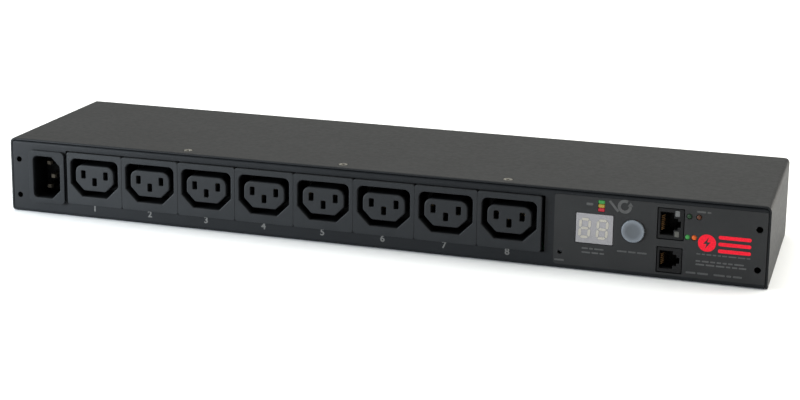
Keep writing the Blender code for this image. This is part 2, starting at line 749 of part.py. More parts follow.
def build_inlet(materials):
    location = panel_point(INLET_ACROSS, INLET_UP)
    solid = bmesh.new()
    add_prism(solid, rounded_rectangle(*INLET_FLANGE_SIZE, INLET_FLANGE_CORNER), -PROUD, -FIT_GAP)
    housing = place("inlet_housing", solid, materials["inlet_plastic"], location)

    barrel = bmesh.new()
    add_prism(barrel, rounded_rectangle(*INLET_BARREL_SIZE, INLET_BARREL_CORNER), -PROUD / 2, INLET_BACK)
    combine(housing, barrel, "UNION")

    socket = connector_outline(
        INLET_SOCKET_LENGTH, INLET_SOCKET_WIDTH, INLET_SOCKET_CORNER, INLET_SOCKET_CHAMFER
    )
    cavity = bmesh.new()
    add_prism(cavity, turned_on_side(socket), -2 * PROUD, INLET_SOCKET_BOTTOM)
    combine(housing, cavity, "DIFFERENCE").name = "inlet_socket_tool"
    slots = bmesh.new()
    for across, up, _ in inlet_pins().values():
        slot = rectangle(PIN_WIDTH + 2 * FIT_GAP, PIN_THICKNESS + 2 * FIT_GAP, (across, up))
        add_prism(slots, slot, INLET_SOCKET_BOTTOM - PROUD, INLET_BACK + PROUD)
    combine(housing, slots, "DIFFERENCE")
    shade_round(housing)

    for kind, (across, up, tip) in inlet_pins().items():
        half = PIN_WIDTH / 2
        outline = [
            (half - PIN_NOSE, tip),
            (half, tip + PIN_NOSE),
            (half, PIN_BACK),
            (-half, PIN_BACK),
            (-half, tip + PIN_NOSE),
            (PIN_NOSE - half, tip),
        ]
        pin = bmesh.new()
        add_prism(pin, outline, -PIN_THICKNESS / 2, PIN_THICKNESS / 2, axis="Z")
        place(f"inlet_{kind}_pin", pin, materials["plated_metal"], location + Vector((across, 0, up)))


def smooth_route(points):
    """Points along the Catmull-Rom curve through the given points."""
    points = [Vector(point) for point in points]
    ends = [2 * points[0] - points[1], *points, 2 * points[-1] - points[-2]]
    route = []
    for a, b, c, d in zip(ends, ends[1:], ends[2:], ends[3:]):
        for step in range(LEAD_STEPS):
            t = step / LEAD_STEPS
            bend = (3 * b - a - 3 * c + d) * t**3
            swing = (2 * a - 5 * b + 4 * c - d) * t**2
            route.append((bend + swing + (c - a) * t) / 2 + b)
    return [*route, points[-1]]


def build_lead(name, points, material):
    curve = bpy.data.curves.new(name, "CURVE")
    curve.dimensions = "3D"
    curve.bevel_depth = LEAD_RADIUS
    curve.bevel_resolution = 2
    curve.use_fill_caps = True
    route = smooth_route(points)
    spline = curve.splines.new("POLY")
    spline.points.add(len(route) - 1)
    for point, place_on_route in zip(spline.points, route):
        point.co = (*place_on_route, 1)
    curve.materials.append(material)
    bpy.context.scene.collection.objects.link(bpy.data.objects.new(name, curve))


def build_leads(materials):
    """Line and neutral run from their pins down to the relay board, and earth to the earth busbar."""
    starts = {}
    for kind, (across, up, _) in inlet_pins().items():
        starts[kind] = panel_point(INLET_ACROSS + across, INLET_UP + up, PIN_BACK + FIT_GAP)
    landing = BOARD_TOP + FIT_GAP
    for kind, (x, y), material in (
        ("line", LINE_LEAD_END, "lead_brown"),
        ("neutral", NEUTRAL_LEAD_END, "lead_blue"),
    ):
        start = starts[kind]
        end = Vector((x, y, landing))
        points = [
            start,
            start + Vector((0, 7 * MM, 0)),
            start.lerp(end, 0.45) + Vector((-4 * MM, 4 * MM, 3 * MM)),
            end + Vector((-1 * MM, 0, 7 * MM)),
            end + Vector((0, 0, 3 * MM)),
            end,
        ]
        build_lead(f"{kind}_lead", points, materials[material])

    start = starts["earth"]
    busbar_left = FIRST_OUTLET - BUSBAR_OVERHANG - FIT_GAP
    busbar_middle = EARTH_BUSBAR_BEHIND + BUSBAR_THICKNESS / 2
    end = panel_point(busbar_left, OUTLET_UP - PIN_OFFSET, busbar_middle)
    points = [start, start + Vector((0.8 * MM, 3.6 * MM, 0)), end - Vector((7 * MM, 0.4 * MM, 0)), end]
    build_lead("earth_lead", points, materials["lead_green"])


# ---------------------------------------------------------------- control section


def build_label(materials):
    middle = ((LABEL_LEFT + LABEL_RIGHT) / 2, (LABEL_LOW + LABEL_HIGH) / 2)
    outline = rounded_rectangle(LABEL_RIGHT - LABEL_LEFT, LABEL_HIGH - LABEL_LOW, LABEL_CORNER, middle)
    solid = bmesh.new()
    add_prism(solid, outline, LABEL_FACE, -LABEL_GAP)
    label = place("front_label", solid, materials["overlay"], panel_point(0, 0))
    holes = bmesh.new()
    for cutout in control_cutouts():
        add_prism(holes, cutout, LABEL_FACE - SHEET, SHEET)
    combine(label, holes, "DIFFERENCE")


def build_display(materials):
    solid = bmesh.new()
    outline = rounded_rectangle(*DISPLAY_SIZE, MOULDED_CORNER)
    add_prism(solid, outline, LABEL_FACE, DISPLAY_BOARD_BEHIND - FIT_GAP)
    place("led_display", solid, materials["display_window"], panel_point(*DISPLAY_AT))

    board = bmesh.new()
    add_prism(board, rounded_rectangle(*DISPLAY_BOARD_SIZE, BOARD_CORNER), 0, BOARD_THICKNESS)
    location = panel_point(*DISPLAY_BOARD_AT, DISPLAY_BOARD_BEHIND)
    place("display_board", board, materials["circuit_board"], location)


def build_button(materials):
    """The display button: a dished cap, a collar that keeps it in, and a stem to its switch."""
    collar_front = SHEET + FIT_GAP
    collar_back = collar_front + BUTTON_COLLAR_THICKNESS
    rim = BUTTON_RADIUS - BUTTON_EDGE
    profile = [(rim * share, BUTTON_DISH * (1 - share**2) - BUTTON_PROUD) for share in (0, 0.45, 0.8, 1)]
    for angle in (45, 90):
        turn = math.radians(angle)
        rise = BUTTON_EDGE * (1 - math.cos(turn))
        profile.append((rim + BUTTON_EDGE * math.sin(turn), rise - BUTTON_PROUD))
    profile += [
        (BUTTON_RADIUS, collar_front),
        (BUTTON_COLLAR_RADIUS, collar_front),
        (BUTTON_COLLAR_RADIUS, collar_back),
        (BUTTON_STEM_RADIUS, collar_back),
        (BUTTON_STEM_RADIUS, BUTTON_STEM_END),
        (0, BUTTON_STEM_END),
    ]
    solid = bmesh.new()
    add_turned(solid, profile, steps=BUTTON_STEPS)
    shade_round(place("display_button", solid, materials["button_plastic"], panel_point(*BUTTON_AT)))


def build_reset_plunger(materials):
    solid = bmesh.new()
    profile = [
        (0, RESET_PLUNGER_FRONT),
        (RESET_PLUNGER_RADIUS, RESET_PLUNGER_FRONT),
        (RESET_PLUNGER_RADIUS, RESET_PLUNGER_END),
        (0, RESET_PLUNGER_END),
    ]
    add_turned(solid, profile)
    shade_round(place("reset_plunger", solid, materials["button_plastic"], panel_point(*RESET_AT)))


def build_switches(materials):
    """A push switch on the display board behind the button and another behind the reset hole."""
    for name, position, stem_radius in (
        ("button_switch", BUTTON_AT, BUTTON_STEM_RADIUS),
        ("reset_switch", RESET_AT, RESET_PLUNGER_RADIUS),
    ):
        solid = bmesh.new()
        body = rounded_rectangle(SWITCH_SIZE, SWITCH_SIZE, MOULDED_CORNER)
        add_prism(solid, body, SWITCH_FRONT, DISPLAY_BOARD_BEHIND - FIT_GAP)
        switch = place(name, solid, materials["switch_plastic"], panel_point(*position))
        well = bmesh.new()
        add_prism(well, circle(stem_radius + WELL_CLEARANCE), SWITCH_FRONT - SHEET, SWITCH_WELL_BOTTOM)
        combine(switch, well, "DIFFERENCE")


def build_load_lamps(materials):
    """Three small rectangular lamps, which reach back to the display board."""
    for colour, up in LOAD_LAMPS.items():
        solid = bmesh.new()
        outline = rounded_rectangle(*LOAD_LAMP_SIZE, MOULDED_CORNER)
        add_prism(solid, outline, LABEL_FACE, DISPLAY_BOARD_BEHIND - FIT_GAP)
        location = panel_point(LOAD_LAMP_ACROSS, up)
        place(f"load_lamp_{colour}", solid, materials[f"lamp_{colour}"], location)


def build_status_lamps(materials):
    """Two round lamps beside each jack, whose domed tips stand a little proud of the panel."""
    profile = [(0, -LAMP_PROUD)]
    for angle in (30, 60, 90):
        turn = math.radians(angle)
        rise = LAMP_DOME * (1 - math.cos(turn))
        profile.append((STATUS_LAMP_RADIUS * math.sin(turn), rise - LAMP_PROUD))
    profile += [(STATUS_LAMP_RADIUS, STATUS_LAMP_END), (0, STATUS_LAMP_END)]
    for name, position in STATUS_LAMPS.items():
        solid = bmesh.new()
        add_turned(solid, profile)
        colour = name.split("_")[-1]
        shade_round(place(name, solid, materials[f"lamp_{colour}"], panel_point(*position)))


def build_jacks(materials):
    """The network and serial jacks, flush with the panel, and the control board beside them."""
    jacks = (
        ("network_jack", NETWORK_JACK_AT, NETWORK_JACK_SIZE, NETWORK_JACK_PORT, NETWORK_JACK_DEPTH),
        ("serial_jack", SERIAL_JACK_AT, SERIAL_JACK_SIZE, SERIAL_JACK_PORT, SERIAL_JACK_DEPTH),
    )
    for name, position, size, port, depth in jacks:
        solid = bmesh.new()
        add_prism(solid, rounded_rectangle(*size, MOULDED_CORNER), 0, depth)
        jack = place(name, solid, materials["jack_plastic"], panel_point(*position))
        opening = bmesh.new()
        add_prism(opening, jack_port_outline(port, PORT_WALL, size[0]), -SHEET, PORT_DEPTH)
        combine(jack, opening, "DIFFERENCE")

    board = bmesh.new()
    front, back = CONTROL_BOARD_BEHIND
    low, high = CONTROL_BOARD_UP
    add_box(board, (0, front, low), (BOARD_THICKNESS, back, high))
    place("control_board", board, materials["circuit_board"], panel_point(CONTROL_BOARD_ACROSS, 0))


# ---------------------------------------------------------------- power electronics


def build_relay_board(materials):
    solid = bmesh.new()
    low = (RELAY_BOARD_X[0], RELAY_BOARD_Y[0], 0)
    high = (RELAY_BOARD_X[1], RELAY_BOARD_Y[1], BOARD_THICKNESS)
    add_box(solid, low, high)
    place("relay_board", solid, materials["circuit_board"], (0, 0, BOARD_LOW))


def build_relays(materials):
    width, length, height = RELAY_SIZE
    across, _ = contact_holes()["line"]
    for number, position in enumerate(outlet_positions(), start=1):
        solid = bmesh.new()
        add_prism(solid, rounded_rectangle(width, length, RELAY_EDGE), 0, height, axis="Z")
        place_x = position + across - WIDTH / 2
        location = (place_x, RELAY_FRONT_Y + length / 2, BOARD_TOP + FIT_GAP)
        place(f"relay_{number}", solid, materials["relay_case"], location)


def build_transformer(materials):
    """The supply transformer: a laminated core with its winding standing out in front and behind."""
    floor = SHEET + FIT_GAP
    solid = bmesh.new()
    x, y, height = CORE_SIZE
    add_box(solid, (-x / 2, -y / 2, 0), (x / 2, y / 2, height))
    transformer = place("transformer", solid, materials["transformer_core"], (*TRANSFORMER_AT, floor))
    winding = bmesh.new()
    x, y, winding_height = WINDING_SIZE
    low = (height - winding_height) / 2
    add_prism(winding, rounded_rectangle(x, y, WINDING_CORNER), low, low + winding_height, axis="Z")
    combine(transformer, winding, "UNION")


def build():
    clear_scene()
    materials = make_materials()
    for build_piece in (
        build_tray,
        build_cover,
        build_screws,
        build_carrier,
        build_outlets,
        build_line_contacts,
        build_busbars,
        build_inlet,
        build_leads,
        build_label,
        build_display,
        build_button,
        build_reset_plunger,
        build_switches,
        build_load_lamps,
        build_status_lamps,
        build_jacks,
        build_relay_board,
        build_relays,
        build_transformer,
    ):
        build_piece(materials)


build()
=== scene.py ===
"""The looks of the rack power strip: fine connectors, prints and display, materials, light and camera.

Units are metres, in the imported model's frame. As in the part, "across" is measured from the case's left
end, "up" from its bottom, and "behind" from the outer face of the front panel.
"""

import math
import random

import bmesh
import bpy
from mathutils import Matrix, Vector


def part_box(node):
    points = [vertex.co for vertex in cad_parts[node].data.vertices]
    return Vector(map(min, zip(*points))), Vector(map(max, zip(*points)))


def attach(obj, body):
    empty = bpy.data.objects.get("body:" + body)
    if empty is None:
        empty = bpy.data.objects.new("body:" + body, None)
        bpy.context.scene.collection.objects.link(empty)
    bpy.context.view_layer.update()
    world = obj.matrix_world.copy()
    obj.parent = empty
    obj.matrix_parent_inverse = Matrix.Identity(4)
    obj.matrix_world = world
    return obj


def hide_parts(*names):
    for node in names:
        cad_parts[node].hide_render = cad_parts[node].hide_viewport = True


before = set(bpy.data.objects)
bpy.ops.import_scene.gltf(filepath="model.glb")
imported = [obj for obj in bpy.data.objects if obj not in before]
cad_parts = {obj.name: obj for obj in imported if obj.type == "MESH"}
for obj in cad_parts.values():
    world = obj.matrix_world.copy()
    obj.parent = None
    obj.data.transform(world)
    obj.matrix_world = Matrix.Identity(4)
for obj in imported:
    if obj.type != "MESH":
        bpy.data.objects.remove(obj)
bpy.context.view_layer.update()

MM = 0.001

# The case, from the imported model
LEFT_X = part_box("top_cover")[0].x
FRONT_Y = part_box("chassis_tray")[0].y
OUTLET_COUNT = 8

# Steps along a quarter turn, for large to tiny corners and for a rounded rim, and the angle in degrees
# over which an edge stays sharp
LARGE_CORNER_STEPS = 8
CORNER_STEPS = 6
SMALL_CORNER_STEPS = 4
TINY_CORNER_STEPS = 3
RIM_STEPS = 3
SHARP_ANGLE = 35

# How far the edges of the CAD nodes that stay are rounded
EDGE_ROUNDS = {
    "chassis_tray": 0.15 * MM,
    "top_cover": 0.2 * MM,
    "display_button": 0.08 * MM,
    "led_display": 0.15 * MM,
    "transformer": 0.3 * MM,
}
SCREW_ROUND = 0.12 * MM
LAMP_ROUND = 0.3 * MM
RELAY_ROUND = 0.4 * MM

# Outlets
FLANGE_CORNER = 1.3 * MM
FLANGE_GROWTH = 0.13 * MM
FLANGE_BACK = 1.2 * MM
FLANGE_ROUND = 0.2 * MM
SOCKET_SIZE = (29.8 * MM, 22 * MM)
SOCKET_CORNER = 3.2 * MM
SOCKET_CHAMFER = 7.2 * MM
SOCKET_SOFTNESS = 1 * MM
SOCKET_FLOOR = 15 * MM
SOCKET_LIP = 0.5 * MM
BARREL_WALL = 1.2 * MM
BARREL_END = 24 * MM
TONGUE_SIZE = (24 * MM, 15 * MM)
TONGUE_CORNER = 4.2 * MM
TONGUE_CHAMFER = 5.2 * MM
TONGUE_SOFTNESS = 2 * MM
TONGUE_FACE = -1.6 * MM
TONGUE_ROUND = 0.7 * MM
HOLE_SIZE = (2.8 * MM, 4.8 * MM)
HOLE_CORNER = 0.6 * MM
HOLE_LIP = 0.25 * MM
HOLE_PLACES = ((7 * MM, 2 * MM), (-7 * MM, 2 * MM), (0, -2 * MM))
OUTLET_CENTRE_UP = 24.3 * MM
PROUD_FACE = -2 * MM

# Where painted shade darkens the connectors' plastic, behind their faces, and what is left of its colour
# there
SOCKET_PAINTED_SHADE_FROM = 0.5 * MM
SOCKET_PAINTED_SHADE_TO = 3.5 * MM
SOCKET_PAINTED_SHADE = (0.14, 0.14, 0.15)

# The stretch of a noise's values over which a colour or a roughness changes
COLOUR_RAMP = (0.35, 0.65)
ROUGHNESS_RAMP = (0.3, 0.7)

# Button's painted light, a painted shade in its dished middle and a painted highlight at its rim, and how far
# from its middle they change, in widths of the cap
CAP_MIDDLE_PAINTED_SHADE = 0.78
CAP_RIM_PAINTED_HIGHLIGHT = 1.6
CAP_PAINTED_LIGHT_FROM = 0.2
CAP_PAINTED_LIGHT_TO = 0.42

# Inlet, turned on its side
INLET_FLANGE_CORNER = 2.6 * MM
INLET_FLANGE_BACK = -0.3 * MM
INLET_SOCKET_SIZE = (24.6 * MM, 17 * MM)
INLET_SOCKET_CORNER = 2.6 * MM
INLET_SOCKET_CHAMFER = 5.2 * MM
INLET_BARREL_SIZE = (20 * MM, 27.4 * MM)
INLET_BARREL_CORNER = 2 * MM
INLET_FLOOR = 15 * MM
INLET_END = 20 * MM
INLET_PINS = ((-2 * MM, 7 * MM), (-2 * MM, -7 * MM), (2 * MM, 0))
PIN_SLOT_SIZE = (4.6 * MM, 2.6 * MM)
PIN_SLOT_CORNER = 0.4 * MM

# Data jacks: body, port and its notch's steps, lamp windows, and contacts with their route behind the face
JACK_CORNER = 0.4 * MM
JACK_ROUND = 0.2 * MM
PORT_WALL = 1.2 * MM
PORT_FLOOR = 13 * MM
PORT_LIP = 0.25 * MM
NOTCH_STEPS = ((6.2 * MM, 2 * MM), (3.4 * MM, 1.5 * MM))
NETWORK_PORT = (12.2 * MM, 7 * MM)
SERIAL_PORT = (9.7 * MM, 6.8 * MM)
JACK_WINDOW_SIZE = (2.3 * MM, 3 * MM)
JACK_WINDOW_CORNER = 0.4 * MM
JACK_WINDOW_FACE = -0.15 * MM
JACK_WINDOW_BACK = 0.3 * MM
JACK_WINDOW_ROUND = 0.1 * MM
JACK_WINDOW_SHIFT = 3.3 * MM
JACK_WINDOW_RISES = {"upper": 5.7 * MM, "lower": -5.2 * MM}
NETWORK_CONTACTS = 8
SERIAL_CONTACTS = 6
CONTACT_PITCH = 1.02 * MM
CONTACT_RADIUS = 0.24 * MM
CONTACT_ROUTE = (
    (0.5 * MM, 1.6 * MM),
    (0.9 * MM, 1.1 * MM),
    (2.9 * MM, 8 * MM),
    (3.1 * MM, 9 * MM),
    (2.9 * MM, 12.9 * MM),
)

# The display's digits: each segment lies in a gap that is wider all round
DIGIT_ASIDE = 4.6 * MM
DIGIT_SHIFT = -0.5 * MM
DIGIT_SLANT = 0.06
SEGMENT_LENGTH = 4.8 * MM
SEGMENT_WIDTH = 1.5 * MM
SEGMENT_SPACE = 0.25 * MM
SEGMENT_HEIGHT = 0.06 * MM
GAP_HEIGHT = 0.02 * MM
GAP_GROWTH = 0.16 * MM
DIGIT_SUNK = 0.05 * MM

# The overlay's right end
MARGIN_START = 422.5 * MM
MARGIN_END = 430.6 * MM
MARGIN_CORNER = 0.5 * MM
MARGIN_STEP = 0.01 * MM
MARGIN_HOLE_RADIUS = 1.75 * MM
MARGIN_HOLE_POINTS = 36
BRACKET_HOLE_ACROSS = 426.6 * MM
BRACKET_HOLES_UP = (10.1 * MM, 31.4 * MM)

# Prints, all in thin ink
INK = 0.03 * MM
NUMERAL_SHIFT = -1 * MM
NUMERAL_UP = 6.1 * MM
NUMERAL_SIZE = 5.2 * MM
NUMERAL_WEIGHT = 0.13 * MM

# Small print: a bar for each word, whose sizes are in heights of the line
PRINT_SEED = 4
WORD_WIDTHS = (1.2, 3.6)
WORD_HEIGHT = 0.6
WORD_CORNER = 0.2
WORD_SPACE = 0.5
# Each line's name, ink, left and right ends across, middle up, and height, the last four in millimetres
PRINT_LINES = (
    ("badge_line", "grey_ink", 395.7, 422.8, 15.7, 1.2),
    ("model_line_upper", "pale_ink", 395.5, 421.5, 11.9, 1.4),
    ("model_line_lower", "pale_ink", 395.5, 421.5, 10.1, 1.4),
    ("serial_text_left", "grey_ink", 390.7, 402.2, 5.3, 1.7),
    ("serial_text_right", "grey_ink", 404.9, 421.5, 5.3, 1.7),
    ("network_text", "grey_ink", 395, 402.2, 37.9, 1.6),
    ("load_text", "pale_ink", 338.2, 343.6, 36.7, 2.2),
    ("display_text_upper", "pale_ink", 336.5, 348.4, 12.6, 1.4),
    ("display_text_lower", "pale_ink", 336.5, 348.4, 10.4, 1.4),
    ("button_text", "grey_ink", 355, 371, 12.9, 1.5),
    ("reset_text", "grey_ink", 322.2, 328.4, 4.9, 1.6),
)

# Icons above the display: a ring between two angles in degrees, with an arrowhead at its end, and a slash
CYCLE_CENTRE = (358.2 * MM, 37 * MM)
CYCLE_RADIUS = 2.9 * MM
CYCLE_WIDTH = 1.6 * MM
CYCLE_TURN = (60, 370)
CYCLE_STEPS = 40
ARROWHEAD = ((1.5 * MM, 0.3 * MM), (0, 2.4 * MM), (-1.4 * MM, 0.3 * MM))
SLASH = ((350.3 * MM, 39.4 * MM), (354.9 * MM, 34 * MM))
SLASH_WIDTH = 1.2 * MM

# Badge
BADGE_LEFT = 396.2 * MM
BADGE_RIGHT = 422.9 * MM
BADGE_LOW = 17.3 * MM
BADGE_HIGH = 26.4 * MM
BADGE_GAP = 1.2 * MM
BADGE_DISC_POINTS = 48
BADGE_BAR_HEIGHT = 1.9 * MM
BADGE_BAR_CORNER = 0.9 * MM
BADGE_BOLT = (
    (0.9 * MM, 3.1 * MM),
    (-1.9 * MM, -0.5 * MM),
    (-0.2 * MM, -0.5 * MM),
    (-0.9 * MM, -3.1 * MM),
    (1.9 * MM, 0.5 * MM),
    (0.2 * MM, 0.5 * MM),
)

# Camera
CAMERA_AT = Vector((0.27975, -0.90188, 0.2785))
CAMERA_AIM = Vector((-0.00787, -0.052, 0.08187))
CAMERA_ROLL = math.radians(0.331)
CAMERA_LENS = 76.877
CAMERA_SENSOR = 36
CAMERA_SHIFT = (0.0625, -0.125)

# Sky: the direction of its bright patch, the cosine at the patch's edge, and the brightness of both
SKY_PATCH = (0.02, 0.30, 0.93)
SKY_PATCH_EDGE = 0.42
SKY_DIM = 0.2
SKY_BRIGHT = 3.2
SKY_COLOUR = (1, 0.99, 0.93)

# Softboxes: name, place, aim, size, watts and colour
SOFTBOXES = (
    ("front_left", (-0.62, -0.42, 0.12), (-0.2, -0.05, 0.02), (0.3, 0.2), 8.5, (0.88, 0.95, 1)),
    ("rear_right", (0.9, 0.4, 0.12), (0.2, 0, 0.02), (0.5, 0.2), 8.5, (1, 0.93, 0.82)),
)

# Floor, a little under what the case stands on
FLOOR_REACH = 8
FLOOR_DROP = 0.1 * MM
PAPER = (0.82, 0.835, 0.86)
PAPER_DARK = (0.815, 0.83, 0.855)
PAPER_LIGHT = (0.825, 0.84, 0.865)


def panel_point(across, up, behind=0.0):
    """A place on the front panel, in the model's frame."""
    return Vector((LEFT_X + across, FRONT_Y + behind, up))


def box_middle(node):
    """Across and up of the middle of a CAD node, and its width and height."""
    low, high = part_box(node)
    return (low.x + high.x) / 2 - LEFT_X, (low.z + high.z) / 2, high.x - low.x, high.z - low.z


# ---------------------------------------------------------------- outlines


def arc(centre, radius, start, end, steps):
    """Points of an arc, with its angles in degrees."""
    points = []
    for step in range(steps + 1):
        angle = math.radians(start + (end - start) * step / steps)
        points.append((centre[0] + radius * math.cos(angle), centre[1] + radius * math.sin(angle)))
    return points


def circle(centre, radius, count):
    return arc(centre, radius, 0, 360 - 360 / count, count - 1)


def rounded_rectangle(width, height, radius, middle=(0, 0), steps=LARGE_CORNER_STEPS):
    across = width / 2 - radius
    up = height / 2 - radius
    points = []
    for quarter, (side, end) in enumerate(((1, 1), (-1, 1), (-1, -1), (1, -1))):
        centre = (middle[0] + side * across, middle[1] + end * up)
        points += arc(centre, radius, 90 * quarter, 90 * quarter + 90, steps)
    return points


def rounded_polygon(corners):
    """Outline through convex (across, up, radius) corners, anticlockwise, each rounded by its radius."""
    points = []
    for index, (across, up, radius) in enumerate(corners):
        here = Vector((across, up))
        before = (Vector(corners[index - 1][:2]) - here).normalized()
        after = (Vector(corners[(index + 1) % len(corners)][:2]) - here).normalized()
        half = before.angle(after) / 2
        centre = here + (before + after).normalized() * radius / math.sin(half)
        start = math.degrees(math.atan2(-before.x, before.y))
        points += arc(centre, radius, start + 180, start + 360 - math.degrees(2 * half), CORNER_STEPS)
    return points


def connector_outline(width, height, radius, chamfer, softness=0.5 * MM):
    """A mains connector: round upper corners, and the lower two cut off at 45 degrees and softened."""
    side = width / 2
    top = height / 2
    return rounded_polygon(
        [
            (side, top, radius),
            (-side, top, radius),
            (-side, chamfer - top, softness),
            (chamfer - side, -top, softness),
            (side - chamfer, -top, softness),
            (side, chamfer - top, softness),
        ]
    )


def port_outline(port, width):
    """A data jack's port with its stepped latch notch, which points to the right."""
    half = port[0] / 2
    left = PORT_WALL - width / 2
    edge = left + port[1]
    upper = [(left, half), (edge, half)]
    for notch_width, notch_height in NOTCH_STEPS:
        upper += [(edge, notch_width / 2), (edge + notch_height, notch_width / 2)]
        edge += notch_height
    upper.reverse()
    return upper + [(across, -up) for across, up in reversed(upper)]


def turned_on_side(outline):
    """The outline after a quarter turn anticlockwise."""
    return [(-up, across) for across, up in outline]


def moved(outline, across, up):
    return [(u + across, v + up) for u, v in outline]


def offset(outline, distance):
    """The anticlockwise outline grown by this distance, or shrunk by a negative one."""
    grown = []
    count = len(outline)
    for index, point in enumerate(outline):
        here = Vector(point)
        before = (here - Vector(outline[index - 1])).normalized()
        after = (Vector(outline[(index + 1) % count]) - here).normalized()
        first = Vector((before.y, -before.x))
        second = Vector((after.y, -after.x))
        grown.append(tuple(here + (first + second) * distance / (1 + first.dot(second))))
    return grown


# ---------------------------------------------------------------- meshes


def ring(solid, outline, behind):
    """Points round the outline at this depth."""
    return [solid.verts.new((across, behind, up)) for across, up in outline]


def rings_joined(solid, rings):
    """Walls between each ring and the next. All the rings have as many points."""
    for near, far in zip(rings, rings[1:]):
        for index in range(len(near)):
            solid.faces.new((near[index - 1], near[index], far[index], far[index - 1]))


def flat_face(solid, *loops):
    """Fills the first loop, and leaves the others open as holes in it."""
    edges = []
    for loop in loops:
        for index in range(len(loop)):
            pair = (loop[index - 1], loop[index])
            edges.append(solid.edges.get(pair) or solid.edges.new(pair))
    bmesh.ops.triangle_fill(solid, use_beauty=True, use_dissolve=False, edges=edges)


def rounded_rim(solid, outline, face, radius, inward):
    """Rings round an edge, from the face at this depth back to radius behind it.

    The face lies inside the outline if inward is 1, and outside it, as round a hole, if inward is -1."""
    rings = []
    for step in range(RIM_STEPS + 1):
        angle = math.radians(90 * step / RIM_STEPS)
        shift = -inward * radius * (1 - math.sin(angle))
        rings.append(ring(solid, offset(outline, shift), face + radius * (1 - math.cos(angle))))
    return rings


def add_flat_normals(item):
    """Normals that follow the largest faces, so that flat faces shade flat up to their rounded edges."""
    weighted = item.modifiers.new("Flat faces stay flat", "WEIGHTED_NORMAL")
    weighted.weight = 100
    return weighted


def finished(name, solid, material, location):
    """Makes the named piece at this place, smooth except along its sharp edges."""
    bmesh.ops.recalc_face_normals(solid, faces=solid.faces)
    mesh = bpy.data.meshes.new(name)
    solid.to_mesh(mesh)
    solid.free()
    mesh.shade_smooth()
    mesh.set_sharp_from_angle(angle=math.radians(SHARP_ANGLE))
    mesh.materials.append(material)
    item = bpy.data.objects.new(name, mesh)
    item.location = location
    bpy.context.scene.collection.objects.link(item)
    add_flat_normals(item).keep_sharp = True
    return item


def add_plate(solid, outline, front, back):
    """A closed plate with this outline."""
    near = ring(solid, outline, front)
    far = ring(solid, outline, back)
    rings_joined(solid, [near, far])
    solid.faces.new(near)
    solid.faces.new(far)


def add_cushioned_plate(solid, outline, front, back, radius):
    """A closed plate whose front edge is rounded."""
    rings = rounded_rim(solid, outline, front, radius, 1)
    rings.append(ring(solid, outline, back))
    rings_joined(solid, rings)
    solid.faces.new(rings[0])
    solid.faces.new(rings[-1])


def add_strip(solid, points, width, front, back):
    """A flat line of even width along the points, as a closed plate."""
    left = []
    right = []
    last = len(points) - 1
    for index, point in enumerate(points):
        behind = Vector(points[max(index - 1, 0)])
        ahead = Vector(points[min(index + 1, last)])
        along = (ahead - behind).normalized() * width / 2
        left.append((point[0] - along.y, point[1] + along.x))
        right.append((point[0] + along.y, point[1] - along.x))
    add_plate(solid, left + right[::-1], front, back)


# ---------------------------------------------------------------- materials


def new_material(name, colour, roughness, metallic=0.0, specular=0.5):
    material = bpy.data.materials.new(name)
    material.use_nodes = True
    shader = material.node_tree.nodes["Principled BSDF"]
    shader.inputs["Base Color"].default_value = (*colour, 1)
    shader.inputs["Roughness"].default_value = roughness
    shader.inputs["Metallic"].default_value = metallic
    shader.inputs["Specular IOR Level"].default_value = specular
    return material


def add_node(owner, kind, **settings):
    """A new shader node in a material or a world."""
    node = owner.node_tree.nodes.new(kind)
    for key, value in settings.items():
        setattr(node, key, value)
    return node


def link(owner, source, output, target, into):
    owner.node_tree.links.new(source.outputs[output], target.inputs[into])


def noise(material, scale, detail, stretch=None):
    """A noise over the object's own coordinates. The scale is in features for each metre."""
    coordinates = add_node(material, "ShaderNodeTexCoord")
    texture = add_node(material, "ShaderNodeTexNoise")
    texture.inputs["Scale"].default_value = scale
    texture.inputs["Detail"].default_value = detail
    if stretch is None:
        link(material, coordinates, "Object", texture, "Vector")
        return texture
    mapping = add_node(material, "ShaderNodeMapping")
    mapping.inputs["Scale"].default_value = stretch
    link(material, coordinates, "Object", mapping, "Vector")
    link(material, mapping, "Vector", texture, "Vector")
    return texture


def vary_colour(material, texture, dark, light):
    """The base colour moves between two colours with the texture."""
    ramp = add_node(material, "ShaderNodeValToRGB")
    for element, position, colour in zip(ramp.color_ramp.elements, COLOUR_RAMP, (dark, light)):
        element.position = position
        element.color = (*colour, 1)
    link(material, texture, "Fac", ramp, "Fac")
    link(material, ramp, "Color", material.node_tree.nodes["Principled BSDF"], "Base Color")


def vary_roughness(material, texture, low, high):
    """The roughness moves between two values with the texture."""
    spread = add_node(material, "ShaderNodeMapRange")
    spread.inputs["From Min"].default_value = ROUGHNESS_RAMP[0]
    spread.inputs["From Max"].default_value = ROUGHNESS_RAMP[1]
    spread.inputs["To Min"].default_value = low
    spread.inputs["To Max"].default_value = high
    link(material, texture, "Fac", spread, "Value")
    link(material, spread, "Result", material.node_tree.nodes["Principled BSDF"], "Roughness")


def add_bumps(material, *textures, strength, height):
    """Bumps from one or more textures, each on top of the last."""
    previous = None
    for texture in textures:
        bump = add_node(material, "ShaderNodeBump")
        bump.inputs["Strength"].default_value = strength
        bump.inputs["Distance"].default_value = height
        link(material, texture, "Fac", bump, "Height")
        if previous:
            link(material, previous, "Normal", bump, "Normal")
        previous = bump
    link(material, previous, "Normal", material.node_tree.nodes["Principled BSDF"], "Normal")


def scaled(colour, factor):
    return tuple(channel * factor for channel in colour)


def textured_plastic(name, colour, roughness, grain=2600, strength=0.25, specular=0.4):
    """Moulded plastic with a fine spark-eroded grain and a slight unevenness of gloss."""
    material = new_material(name, colour, roughness, specular=specular)
    vary_colour(material, noise(material, 60, 3), scaled(colour, 0.94), scaled(colour, 1.06))
    vary_roughness(material, noise(material, 140, 3), roughness - 0.04, roughness + 0.05)
    add_bumps(material, noise(material, grain, 2), strength=strength, height=0.04 * MM)
    return material


